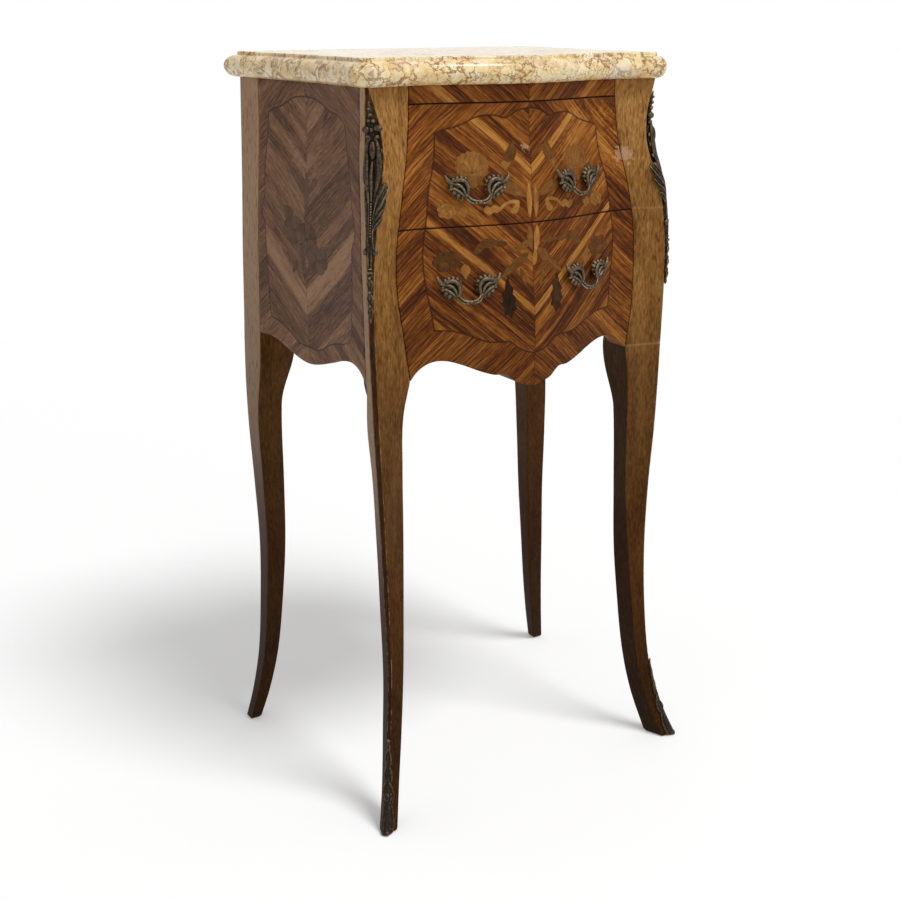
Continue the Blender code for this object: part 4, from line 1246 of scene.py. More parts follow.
@dataclass
class SidePanels:
    """Hollow side panels with scalloped lower edges, their arrises just eased."""

    columns: int = 72
    rows: int = 64
    seat: float = 0.0003
    easing: float = 0.0005
    apron: Stations = (
        (0, 0.0016), (0.02, 0.006), (0.05, 0.0115), (0.09, 0.0155), (0.135, 0.017), (0.18, 0.0162),
        (0.23, 0.014), (0.32, 0.0086), (0.41, 0.0022), (0.495, -0.002), (0.55, -0.0032), (0.625, -0.002),
        (0.69, 0.001), (0.755, 0.0046), (0.83, 0.009), (0.9, 0.011), (1, 0.0102))

    def build(self) -> None:
        """Make both panels and put them on the carcass."""
        for hand in Hand:
            def surface(u: float, v: float, side: int = hand.value) -> Vector:
                """The panel's outer face at shares from front to back and up."""
                low = FORM.knee + along(self.apron, u)
                z = low + (FORM.top - low) * v
                place = FORM.place(z)
                start = FORM.strip_y(place) + self.seat
                y = start + (FORM.stile_y(place) - self.seat - start) * u
                return Vector((side * FORM.side_x(y, place), y, z))

            def behind(point: Vector, side: int = hand.value) -> Vector:
                """The panel's inner face behind a point."""
                return point - Vector((side * FORM.panel, 0, 0))

            name = f"{hand.word}_side_panel"
            mesh = eased(slab(name, self.columns, self.rows, surface, behind), name, self.easing)
            show(f"veneered_{name}", mesh, SIDE_VENEER, Body.CARCASS, Slot.VENEER, [name])


@dataclass
class Fronts:
    """The rail and both drawer fronts: one bowed and bellied surface, cut at the drawers."""

    columns: int = 112
    gap: float = 0.0006
    easing: float = 0.0007
    rail_bottom: float = 0.6987
    upper_top: float = 0.6981
    upper_bottom: float = 0.5871
    lower_top: float = 0.5865
    upper_back: float = 0.077
    lower_back: float = 0.087
    apron: Stations = (
        (0, -0.0168), (0.05, -0.0155), (0.11, -0.013), (0.16, -0.0105), (0.205, -0.0055), (0.245, -0.002),
        (0.33, -0.0016), (0.39, 0.0005), (0.47, 0.0045), (0.58, 0.011), (0.69, 0.0158), (0.78, 0.0165),
        (0.86, 0.0138), (0.94, 0.0078), (1, 0.0008))

    def front(self, name: str, rows: int, low_edge: Callable[[float], float], top: float,
              flat: float) -> Mesh:
        """One eased front over a flat back.

        Args:
            name: name of the mesh.
            rows: faces up.
            low_edge: height of the lower edge at a share of the half width.
            top: height of the upper edge.
            flat: how far forward the flat back stands.

        Returns:
            The mesh.
        """
        def surface(u: float, v: float) -> Vector:
            """The front's face at shares across and up."""
            share = 2 * u - 1
            low = low_edge(abs(share))
            z = low + (top - low) * v
            place = max(FORM.place(z), 1.0)
            return Vector((share * (FORM.half(place) - self.gap), FORM.front_y(share, place), z))

        raw = slab(name, self.columns, rows, surface, lambda point: Vector((point.x, -flat, point.z)))
        return eased(raw, name, self.easing)

    def build(self) -> None:
        """Make the rail and the two fronts."""
        kinds = (
            ("top_front_rail", 6, lambda share: self.rail_bottom, FORM.top, self.upper_back, Body.CARCASS),
            ("upper_drawer_front", 36, lambda share: self.upper_bottom, self.upper_top, self.upper_back,
             Body.UPPER),
            ("lower_drawer_front", 44, lambda share: FORM.knee + along(self.apron, share), self.lower_top,
             self.lower_back, Body.LOWER))
        for name, rows, low_edge, top, flat, body in kinds:
            mesh = self.front(name, rows, low_edge, top, flat)
            show(f"veneered_{name}", mesh, FRONT_VENEER, body, Slot.VENEER, [name])


# Marquetry


GROUND_TONE = 0.55
LOBE_REACH = 0.99
PETAL_EDGE = ((-0.49, 0.75), (-0.36, 0.95), (0, 1), (0.36, 0.95), (0.49, 0.75))
PETAL_FOOT = 0.44
PETAL_SHADES = ((-0.04, 3), (0.05, 3.4))


@dataclass(frozen=True)
class Leaf:
    """One sawn piece of the marquetry: outline in millimetres, tone from 0 dark to 1 pale, grain angle."""

    outline: tuple[Spot, ...]
    tone: float
    grain: float = 90.0
    level: float = 1.0

    def mirrored(self, fade: float) -> "Leaf":
        """The same piece on the other side of the middle, its tone drawn towards the ground's."""
        tone = self.tone + (GROUND_TONE - self.tone) * fade
        return Leaf(tuple((-x, z) for x, z in reversed(self.outline)), tone, 180 - self.grain, self.level)


def spoke(centre: Spot, size: Spot, reach: float, degrees: float) -> Spot:
    """The point at a share of an oval's radius and at an angle."""
    angle = math.radians(degrees)
    return centre[0] + size[0] * reach * math.cos(angle), centre[1] + size[1] * reach * math.sin(angle)


def scalloped(centre: Spot, size: Spot, lobes: int, start: float, sweep: float) -> tuple[Spot, ...]:
    """Outline of a blossom cut in one piece, its edge in rounded lobes.

    Args:
        centre: its middle in millimetres.
        size: half its width and half its height.
        lobes: how many lobes.
        start: angle of the first notch in degrees.
        sweep: angle that the lobes take up; what is left is drawn in to a narrow foot.

    Returns:
        Points of the outline.
    """
    count = lobes * 3
    return tuple(spoke(centre, size, LOBE_REACH if i % 3 else 1 - 1 / lobes, start + sweep * i / count)
                 for i in range(count))


def flower(centre: Spot, size: Spot, petals: int, start: float, sweep: float, tone: float,
           hole: float = 0.3) -> list[Leaf]:
    """Petals set round a middle, with saw kerfs between them.

    Args:
        centre: its middle in millimetres.
        size: half its width and half its height.
        petals: how many petals.
        start: angle of the first edge in degrees.
        sweep: angle that the petals take up.
        tone: tone of the petals.
        hole: inner end of the petals as a share of their length.

    Returns:
        The petals.
    """
    made = []
    each = sweep / petals
    for i in range(petals):
        middle = start + each * (i + 0.5)
        edge = ((-PETAL_FOOT, hole), *PETAL_EDGE, (PETAL_FOOT, hole))
        ring = tuple(spoke(centre, size, reach, middle + turn * each) for turn, reach in edge)
        shade, level = PETAL_SHADES[i % 2]
        made.append(Leaf(ring, tone + shade, middle, level))
    return made


UPPER_LEFT = (
    Leaf(scalloped((-59.5, 642), (16.4, 13.6), 14, -62, 304), 0.7, 80),
    *flower((-59.5, 634.5), (12, 16), 5, 14, 152, 0.73, 0.1),
    Leaf(((-71, 631), (-66, 632.4), (-60, 633), (-54, 632.4), (-49.6, 631), (-53.6, 625.6), (-60.4, 621.4),
          (-67, 625.6)), 0.6, 80, 4),
    Leaf(((-82, 634.4), (-78, 636.4), (-73, 634.6), (-69, 631.4), (-75, 631)), 0.54, 160),
    Leaf(((-43, 636), (-47, 636), (-51, 633.4), (-54, 631), (-48, 631.6)), 0.66, 20, 2),
    Leaf(((-19, 663.5), (-15.6, 657), (-15.4, 651), (-18.5, 646), (-24, 644.5), (-28, 646.5), (-26.5, 653),
          (-23, 658.5)), 0.44, 70),
    Leaf(((-31.5, 643), (-28, 645.8), (-24.5, 644), (-21, 645), (-25, 638.5), (-28, 636.5)), 0.68, 60, 1.5),
    Leaf(((-33, 621), (-27, 626), (-18, 625), (-11.5, 619), (-9.5, 611.6), (-14, 612.2), (-21, 613.5),
          (-28, 616)), 0.56, 150),
    Leaf(((-3.8, 625), (-1.6, 617), (-1, 608), (-1.6, 598), (-3.5, 591), (-5.8, 598), (-6.8, 606),
          (-6.2, 616)), 0.86, 88),
    Leaf(((-51.4, 600.6), (-50, 604), (-47.2, 605.2), (-44.6, 603.6), (-42, 605.6), (-38.5, 605.4),
          (-35.6, 603.8), (-33, 605.4), (-29.6, 607.6), (-21.5, 609.8), (-15.2, 608.2), (-14.4, 605.2),
          (-15.6, 600.6), (-17.6, 597), (-21.7, 596.4), (-24.6, 598.6), (-22.8, 601.6), (-19.8, 604.8),
          (-21.2, 606.2), (-28, 605), (-32.4, 601.6), (-37.8, 598), (-41.4, 598.8), (-45, 596.4),
          (-49, 598)), 0.84, 165),
    Leaf(((-49, 609), (-46, 611), (-42.6, 609.4), (-42.8, 606.4), (-46, 606.4)), 0.72, 60),
    Leaf(scalloped((-86, 602), (9.8, 7.6), 6, 10, 360), 0.74, 100),
    *flower((-86, 602), (5.6, 4.2), 4, 40, 360, 0.77, 0.1),
    Leaf(scalloped((-71, 600.2), (5.2, 4.8), 4, 60, 360), 0.77, 60),
)
UPPER_RIGHT_FADE = 0.45
LOWER_LEFT = (
    Leaf(((-62, 560), (-61, 566), (-56, 571), (-49, 575), (-42, 574), (-36, 571.6), (-30, 571), (-29, 567.4),
          (-35, 566), (-41, 567.6), (-45, 564.6), (-50, 566.4), (-56, 561.6)), 0.42, 165),
    Leaf(((-6, 558.5), (-13, 558), (-16.5, 554.6), (-21, 553.6), (-25, 548.4), (-29, 546.4), (-35.5, 537.4),
          (-29, 538.2), (-20, 543), (-12, 549), (-7, 554)), 0.48, 40),
    Leaf(((-4.4, 584.5), (-1, 579), (-0.6, 570), (-1.6, 562), (-4.6, 566), (-6.8, 573),
          (-6.6, 580)), 0.6, 90),
    Leaf(((-28, 537), (-26.2, 530), (-22.6, 526), (-23.4, 521), (-20, 516), (-21.4, 511), (-19.6, 506),
          (-23, 503.6), (-26, 497.6), (-29, 501), (-33, 501.4), (-32.6, 507), (-35.6, 511), (-33.6, 516.4),
          (-35.4, 521.4), (-32, 525), (-31, 531)), 0.1, 85),
    Leaf(scalloped((-88, 555.6), (14, 10.4), 6, 30, 360), 0.36, 100),
    *flower((-88, 555.6), (8, 6), 3, 60, 360, 0.4, 0.1),
    Leaf(((-74, 549), (-70.4, 552.4), (-66.4, 549.6), (-65, 545), (-68, 541), (-69.5, 536.6), (-72, 541),
          (-74.4, 545)), 0.74, 100),
    Leaf(((-15, 545), (-11, 541), (-8, 534), (-7.6, 526), (-11, 530), (-14.5, 537)), 0.52, 70),
)
LOWER_MIDDLE = (
    Leaf(((4.2, 584.5), (7.6, 577), (7, 568), (4.2, 560), (1.6, 556), (0.8, 565), (1.2, 576)), 0.84, 95, 2.0),
    Leaf(((1.4, 561), (4.2, 558), (4.6, 553), (2.6, 547.5), (-0.6, 546.5), (-1.6, 552),
          (-0.4, 557)), 0.78, 90, 2.5),
    Leaf(((-2, 571.5), (-8, 571), (-15, 567.6), (-22, 562), (-15, 561.4), (-8, 563.4),
          (-3, 566)), 0.56, 160, 1.5),
    Leaf(((6, 563), (12, 562), (17, 557), (18, 551), (13, 548.6), (8, 553), (5, 558)), 0.54, 130, 1.5),
    Leaf(((7, 571), (13, 569.6), (20, 571), (28, 571.4), (29, 567.8), (21, 566.6), (13, 566.4),
          (7.6, 568.6)), 0.48, 10, 1.5),
)
LOWER_RIGHT_FADE = 0.3
SIDE_MIDDLE = 14.0
SIDE_LEAVES = (
    *flower((22, 572), (24, 14), 6, 10, 360, 0.36, 0.1),
    *flower((-4, 566), (19, 18), 7, 20, 360, 0.33, 0.1),
    *flower((-25, 549), (22, 14), 6, 40, 360, 0.35, 0.1),
    Leaf(((-50, 590), (-42, 594), (-32, 592), (-26, 586), (-34, 583), (-42, 584)), 0.36, 150),
    Leaf(((46, 592), (38, 595), (29, 592), (26, 586), (33, 583), (41, 584)), 0.36, 30),
    Leaf(((-46, 562), (-38, 564), (-32, 558), (-30, 550), (-38, 551), (-43, 556)), 0.38, 40),
    Leaf(((0, 628), (4, 619), (4, 606), (1, 592), (-2, 592), (-5, 604), (-4, 617)), 0.44, 90),
    Leaf(((-22, 624), (-14, 626), (-6, 618), (-5, 610), (-12, 613), (-18, 618)), 0.42, 160),
    Leaf(((26, 624), (17, 627), (8, 619), (6, 610), (14, 613), (21, 618)), 0.42, 20),
    Leaf(((4, 546), (8, 541), (6, 532), (2, 525), (-1, 532), (0, 540)), 0.34, 90),
    Leaf(((16, 544), (21, 542), (26, 536), (27, 529), (21, 532), (17, 538)), 0.36, 120),
)


INSIDE_ONLY = 1


@dataclass
class Marquetry:
    """Flowers and leaves let into the veneer, each a thin sawn piece that follows the surface."""

    proud: float = 0.00006
    sunk: float = 0.00035
    grid: float = 1.6
    steps: int = 4
    grain_stretch: float = 0.12
    grain_step: float = 0.01
    tolerance: float = 1e-5

    def drape(self, leaves: Sequence[Leaf], surface: Surface, name: str) -> Mesh:
        """Cut leaves and lay them on a surface.

        Args:
            leaves: the pieces, in millimetres.
            surface: the point of the surface at two numbers in metres.
            name: name of the mesh.

        Returns:
            One mesh of thin closed pieces with their tone and grain.
        """
        points, faces, tones, grains, rims = [], [], [], [], []

        def normal(a: float, b: float) -> Vector:
            """Normal of the surface, away from the middle of the case."""
            across = surface(a + MM, b) - surface(a - MM, b)
            up = surface(a, b + MM) - surface(a, b - MM)
            out, here = across.cross(up).normalized(), surface(a, b)
            return -out if out.x * here.x + out.y * here.y < 0 else out

        for leaf in leaves:
            ring = flowing(leaf.outline, self.steps, closed=True)
            low, high = ring.min(axis=0), ring.max(axis=0)
            spots = [Vector(p) for p in ring]
            edges = [(i, (i + 1) % len(ring)) for i in range(len(ring))]
            for x in np.arange(low[0] + self.grid / 2, high[0], self.grid):
                for z in np.arange(low[1] + self.grid / 2, high[1], self.grid):
                    spots.append(Vector((x, z)))
            flat, _, cells, *_ = delaunay_2d_cdt(spots, edges, [], INSIDE_ONLY, self.tolerance)
            start = len(points)
            count = len(flat)
            angle = math.radians(leaf.grain)
            for lift in (self.proud * leaf.level, -self.sunk):
                for i, spot in enumerate(flat):
                    a, b = spot.x * MM, spot.y * MM
                    rims.append(1.0 if i < len(ring) else 0.0)
                    points.append(surface(a, b) + normal(a, b) * lift)
                    tones.append(leaf.tone)
                    grain = (spot.x * math.cos(angle) + spot.y * math.sin(angle)) * self.grain_stretch * MM
                    cross = (spot.y * math.cos(angle) - spot.x * math.sin(angle)) * MM
                    grains.append((grain, cross, len(tones) // max(count, 1) * self.grain_step))
            used: dict[tuple[int, int], None] = {}
            for cell in cells:
                faces.append(tuple(start + i for i in cell))
                faces.append(tuple(start + count + i for i in reversed(cell)))
                used.update(dict.fromkeys(zip(cell, cell[1:] + cell[:1])))
            for i, j in used:
                if (j, i) not in used:
                    faces.append((start + j, start + i, start + count + i, start + count + j))
        return skin(name, [tuple(p) for p in points], faces, tone=np.array(tones), grain=np.array(grains),
                    rim=np.array(rims))

    def build(self) -> None:
        """Lay the flowers of both drawers and both side panels."""
        upper = [*UPPER_LEFT, *(leaf.mirrored(UPPER_RIGHT_FADE) for leaf in UPPER_LEFT)]
        lower = [*LOWER_LEFT, *(leaf.mirrored(LOWER_RIGHT_FADE) for leaf in LOWER_LEFT), *LOWER_MIDDLE]
        for word, leaves, body in (("upper", upper, Body.UPPER), ("lower", lower, Body.LOWER)):
            name = f"{word}_front_marquetry"
            show(name, self.drape(leaves, FORM.front_point, name), INLAY_WOOD, body, Slot.VENEER)
        for hand in Hand:
            def surface(y: float, z: float, side: int = hand.value) -> Vector:
                """The side panel's face, measured from the middle of its flowers."""
                depth = y + SIDE_MIDDLE * MM
                return Vector((side * FORM.side_x(depth, FORM.place(z)), depth, z))

            name = f"{hand.word}_side_marquetry"
            show(name, self.drape(SIDE_LEAVES, surface, name), SIDE_INLAY, Body.CARCASS, Slot.VENEER)


# Marble


@dataclass
class MarbleTop:
    """Marble slab with a beaked edge: a small step under the flat, then a swelling round."""

    base: float = 0.715
    thickness: float = 0.025
    overhang: float = 0.0125
    back_overhang: float = 0.0114
    corner_cut: float = 0.005
    softening: float = 0.006
    corner_share: float = 0.45
    corner_steps: int = 6
    corner_angle: float = math.radians(6)
    front_points: int = 40
    side_points: int = 30
    profile_steps: int = 4
    edge: tuple[Spot, ...] = (
        (0.012, 1), (0.0108, 0.99), (0.0101, 0.94), (0.0099, 0.87), (0.0085, 0.845), (0.006, 0.83),
        (0.0022, 0.7), (0, 0.48), (0.0008, 0.26), (0.0035, 0.08), (0.0075, 0))
    flat_inset: float = 0.015

    def outline(self) -> list[Vector]:
        """The slab's outer edge, anticlockwise, with its corners still sharp."""
        ridge, corner = FORM.ridge(2), FORM.back_corner(2)
        shares = [i / self.front_points for i in range(self.front_points + 1)]
        right = [Vector((share * FORM.half(2), FORM.front_y(share, 2))) for share in shares]
        right += [Vector((ridge.x - self.corner_cut, ridge.y)), Vector((ridge.x, ridge.y + self.corner_cut))]
        start = right[-1].y
        for i in range(1, self.side_points + 1):
            y = start + (corner.y - start) * i / self.side_points
            right.append(Vector((FORM.side_x(y, 2), y)))
        line = right + [Vector((-p.x, p.y)) for p in reversed(right[1:])]
        line = mitred(line, -self.overhang)
        for point in line:
            if point.y > corner.y:
                point.y = corner.y + self.back_overhang
        return line

    def softened(self, points: Sequence[Vector], corners: Sequence[bool]) -> list[Vector]:
        """An outline with its corners turned to small curves.

        Args:
            points: the outline.
            corners: which of its points are real corners.

        Returns:
            Points of the softer outline.
        """
        soft = []
        count = len(points)
        for i, point in enumerate(points):
            if not corners[i]:
                soft.append(point)
                continue
            before, after = points[i - 1] - point, points[(i + 1) % count] - point
            reach = min(self.softening, before.length * self.corner_share, after.length * self.corner_share)
            start, end = point + before.normalized() * reach, point + after.normalized() * reach
            soft += [bent(start, point, end, k / self.corner_steps) for k in range(self.corner_steps + 1)]
        return soft

    def build(self) -> None:
        """Make the slab and put it on the carcass."""
        line = self.outline()
        count = len(line)
        turns = [math.pi - (line[i - 1] - p).angle(line[(i + 1) % count] - p) for i, p in enumerate(line)]
        corners = [turn > self.corner_angle for turn in turns]
        profile = [(self.flat_inset, 1.0), *flowing(self.edge, self.profile_steps), (self.flat_inset, 0.0)]
        rings = []
        for inset, share in profile:
            ring = self.softened(mitred(line, max(0.0, float(inset))), corners)
            rings.append(np.array([(p.x, p.y, self.base + self.thickness * float(share)) for p in ring]))
        name = "moulded_marble_top"
        show(name, loft(name, rings), MARBLE, Body.CARCASS, Slot.MARBLE, ["marble_top"])


# Bronzes


UPRIGHT = 1e-4


@dataclass
class Casting:
    """A small bronze, modelled from tapered strokes and pellets that are fused to one skin.

    Strokes are drawn in millimetres in a frame of their own: across, up and out.
    """

    voxel: float = 0.0004
    rub: float = 0.0
    sides: int = 10
    steps: int = 5
    thinnest: float = 0.05
    end_rings: Spot = (0.6, 0.95)
    pellet_sides: int = 14
    pellet_rings: int = 9
    crest_reach: float = 0.00045
    points: list[np.ndarray] = field(default_factory=list)
    faces: list[tuple[int, ...]] = field(default_factory=list)

    def stroke(self, rows: Sequence[Sequence[float]], turn: float = 1) -> None:
        """A bar along a smooth path with rounded ends.

        Args:
            rows: across, up, out, half width and, where it differs, half height at each point.
            turn: what the sizes across are multiplied by; -1 mirrors the bar.
        """
        line = flowing([(row[0] * turn, *row[1:4], row[-1]) for row in rows], self.steps)
        spine, size = line[:, :3], np.maximum(line[:, 3:], self.thinnest)
        forward = np.gradient(spine, axis=0)
        forward /= np.linalg.norm(forward, axis=1)[:, None]
        side = np.cross((0.0, 0.0, 1.0), forward)
        long = np.linalg.norm(side, axis=1)[:, None]
        side = np.where(long > UPRIGHT, side / np.maximum(long, UPRIGHT), (1.0, 0.0, 0.0))
        up = np.cross(forward, side)
        levels = [(0, -k) for k in reversed(self.end_rings)] + [(i, 0.0) for i in range(len(spine))]
        levels += [(-1, k) for k in self.end_rings]
        base = sum(len(p) for p in self.points)
        turns = np.arange(self.sides) * 2 * math.pi / self.sides
        rings = []
        for i, beyond in levels:
            shrink = math.sqrt(1 - beyond * beyond)
            middle = spine[i] + forward[i] * beyond * size[i].min()
            rings.append(middle + np.outer(np.cos(turns), side[i] * size[i][0] * shrink)
                         + np.outer(np.sin(turns), up[i] * size[i][1] * shrink))
        self.points.append(np.concatenate(rings))
        self.faces += tube(len(rings), self.sides, base)

    def pellet(self, centre: Sequence[float], size: Sequence[float]) -> None:
        """A round or oval lump.

        Args:
            centre: its middle, across, up and out.
            size: its half sizes.
        """
        bm = bmesh.new()
        bmesh.ops.create_uvsphere(bm, u_segments=self.pellet_sides, v_segments=self.pellet_rings, radius=1.0)
        base = sum(len(p) for p in self.points)
        self.points.append(np.array([v.co for v in bm.verts]) * np.array(size) + np.array(centre))
        self.faces += [tuple(base + v.index for v in face.verts) for face in bm.faces]
        bm.free()

    def cast(self, name: str, lay: Callable[[np.ndarray], np.ndarray]) -> Mesh:
        """Fuse the strokes to one skin in their place.

        Args:
            name: name of the mesh.
            lay: turns rows of millimetres across, up and out to metres in the frame.

        Returns:
            A closed mesh with its crests marked.
        """
        raw = bpy.data.meshes.new(name + "_strokes")
        raw.from_pydata(lay(np.concatenate(self.points)).tolist(), [], self.faces)
        mesh = finished(raw, name, REMESH={"mode": "VOXEL", "voxel_size": self.voxel},
                        SMOOTH={"factor": 0.5, "iterations": 2})
        stamp(mesh, "crest", crests(mesh, self.crest_reach) + self.rub)
        return mesh


@dataclass
class Pulls:
    """Cast leaf pulls: two ridged leaves with a ruffled rim and a finger, joined by a double-ridged bail."""

    spread: float = 0.019
    tilt_reach: float = 0.0125
    seat: float = 0.0003
    gap: float = 0.0006
    places: tuple[tuple[str, Body, float, float], ...] = (
        ("upper", Body.UPPER, 0.0571, 0.6221), ("lower", Body.LOWER, 0.0684, 0.5303))

    def model(self) -> Casting:
        """Strokes of one pull, across, up and out from between its bosses."""
        work = Casting(rub=0.08)
        strokes = (
            ((11, -6.5, 6.9, 1.3), (10, -2.4, 6.6, 1.7), (10.4, 2.4, 6.2, 2), (13.2, 6.2, 5.8, 2.2),
             (17.6, 7.6, 5.4, 2.2), (22, 6.8, 5, 2), (25.6, 6.4, 4.6, 1.8)),
            ((12.6, -7.4, 6.5, 1.1), (13.4, -3.4, 6.3, 1.4), (15.6, 0.6, 5.9, 1.6), (19.2, 3.2, 5.4, 1.5),
             (23.4, 3.8, 4.9, 1.3)),
            ((13.4, -8, 6, 1), (16, -5, 5.8, 1.4), (19.6, -2.4, 5.3, 1.6), (23.4, -0.4, 4.7, 1.5),
             (26.2, 1.2, 4.0, 1.0)),
            ((23.6, 4.4, 4.2, 2.3), (27.2, 5.8, 4.8, 2.5), (29.6, 8.4, 4.4, 2.2), (30.8, 11, 3.6, 1.6)),
            ((9.8, -3.4, 6, 1.3), (7.6, -1.6, 5.4, 0.7)))
        lobes = (
            (10.2, 1.4, 7.4, 2.8, 1.5), (10.6, 4.4, 7.9, 6.8, 1.9), (12.6, 6.6, 10.8, 10.2, 2.1),
            (15.8, 7.8, 15.6, 11.4, 2.2), (19.4, 7.8, 20.6, 11, 2), (22.6, 7, 24.6, 9.2, 1.6),
            (24.6, 0.6, 27.4, -1.2, 1.7), (21.6, -2.2, 24.2, -5.6, 2.2), (18.4, -4, 19.6, -9, 2.3),
            (15.2, -6.2, 15.2, -10.2, 1.7))
        for s in (-1, 1):
            work.stroke(((19, 2, 0, 3.4), (19, 2, 3.4, 3)), s)
            for x, z, wide, high in ((16.4, 2.6, 8.4, 8.2), (21.4, 2.6, 6.2, 6), (17.8, -4.4, 6.2, 5.2)):
                work.pellet((x * s, z, 3.0), (wide, high, 2.3))
            for rows in strokes:
                work.stroke(rows, s)
            for x0, z0, x1, z1, wide in lobes:
                work.stroke(((x0, z0, 4.6, wide * 0.9, 1.2), ((x0 + x1) / 2, (z0 + z1) / 2, 4.9, wide, 1.3),
                             (x1, z1, 3.6, wide * 0.65, 0.9)), s)
            work.pellet((25.8 * s, 2.4, 4.8), (1.9, 1.9, 1.6))
            work.pellet((11.4 * s, -6.6, 6.8), (2.0, 1.8, 1.6))
        outer = ((12.6, -8, 6.4), (10.6, -11, 7.4), (7.2, -13.4, 8.2), (3.2, -14.4, 8.8), (0.0, -13.8, 9.0))
        inner = ((11, -6.2, 6.9), (9.4, -8.8, 7.9), (6.2, -11.2, 8.8), (2.4, -12.2, 9.3), (0, -12.3, 9.4))
        web = [np.mean(pair, axis=0) - (0, 0, 0.9) for pair in zip(outer, inner)]
        for ridge, wide in ((outer, 1.05), (inner, 1.15), (web, 1.0)):
            half = [(*spot, wide) for spot in ridge]
            work.stroke([*half, *((-x, *rest) for x, *rest in reversed(half[:-1]))])
        work.pellet((0.6, -12.9, 9.6), (2.6, 1.9, 1.4))
        for s in (-1, 1):
            work.pellet((3.6 * s, -13.6, 9.2), (1.5, 1.6, 1.3))
        return work

    def build(self) -> None:
        """Cast the four pulls and fix them to the drawers."""
        for level, body, x, z in self.places:
            place = FORM.place(z)
            share = x / (FORM.half(place) - self.gap)
            reach = self.spread / FORM.half(place)
            outer, inner = (FORM.front_y(share + d, place) for d in (reach, -reach))
            tilt = self.tilt_reach
            above, below = (FORM.front_y(share, FORM.place(z + d)) for d in (tilt, -tilt))
            pitch = math.atan2(above - below, 2 * tilt)
            for hand in Hand:
                yaw = hand.value * math.atan2(outer - inner, 2 * self.spread)
                turn = Matrix.Rotation(yaw, 4, "Z") @ Matrix.Rotation(-pitch, 4, "X")
                foot = Vector((hand.value * x, FORM.front_y(share, place), z))
                put = np.array(Matrix.Translation(foot + turn @ Vector((0, -self.seat, 0))) @ turn)

                def lay(rows: np.ndarray, put: np.ndarray = put) -> np.ndarray:
                    """Millimetres across, up and out to the drawer front."""
                    local = np.stack([rows[:, 0], -rows[:, 2], rows[:, 1]], axis=1) * MM
                    return local @ put[:3, :3].T + put[:3, 3]

                name = f"{level}_{hand.word}_handle"
                mesh = self.model().cast(name, lay)
                show(f"cast_{name}", mesh, BRONZE, body, Slot.BRONZE, [name])


@dataclass
class Mounts:
    """Bronzes on the canted corners of the front posts, bent onto the faces beside them.

    They are drawn in millimetres round the corner (towards the side), away from a start height, and out.
    """

    word: str
    section: Section
    start: float = 0.0
    way: int = 1
    seat: float = 0.0003
    levels: int = 120
    bend: float = 0.004

    def lay(self, rows: np.ndarray, hand: Hand) -> np.ndarray:
        """Lay drawn points on a front post.

        Args:
            rows: millimetres round the corner, from the start and out.
            hand: which post.

        Returns:
            Points in metres in the frame.
        """
        round_by, height, out_by = ((rows * (1, self.way, 1) + (0, self.start / MM, 0)) * MM).T
        levels = np.linspace(height.min(), height.max(), self.levels)
        cuts = np.array([[tuple(c) for c in self.section(FORM.place(max(z, 0.0)))[:4]] for z in levels])
        inner, front, side, rear = (
            np.stack([np.interp(height, levels, cuts[:, k, axis]) for axis in (0, 1)], axis=1)
            for k in range(4))

        def unit(ways: np.ndarray) -> np.ndarray:
            """The same directions, one long."""
            return ways / np.linalg.norm(ways, axis=1)[:, None]

        half = np.linalg.norm(side - front, axis=1) / 2
        way = unit(side - front)
        flank = np.where((round_by > 0)[:, None], unit(rear - side), unit(inner - front))
        over = np.abs(round_by) - half
        spot = (front + side) / 2 + way * np.clip(round_by, -half, half)[:, None]
        spot = spot + flank * np.maximum(over, 0)[:, None]
        corner_out, face_out = way[:, ::-1] * (1, -1), flank[:, ::-1] * (1, -1)
        face_out *= np.sign(np.sum(face_out * corner_out, axis=1))[:, None]
        blend = np.clip(over / self.bend + 0.5, 0, 1)[:, None]
        spot += unit(corner_out * (1 - blend) + face_out * blend) * (out_by + self.seat)[:, None]
        return np.stack([hand.value * spot[:, 0], spot[:, 1], height], axis=1)

    def model(self) -> Casting:
        """Strokes of one mount; across is below zero towards the drawer front."""
        raise NotImplementedError

    def trim(self, hand: Hand) -> None:
        """Add what is made apart from the casting."""

    def build(self) -> None:
        """Cast both mounts and trim them."""
        for hand in Hand:
            name = f"{hand.word}_{self.word}"
            mesh = self.model().cast(name, lambda rows, hand=hand: self.lay(rows, hand))
            show(f"cast_{name}", mesh, BRONZE, Body.CARCASS, Slot.BRONZE, [name])
            self.trim(hand)


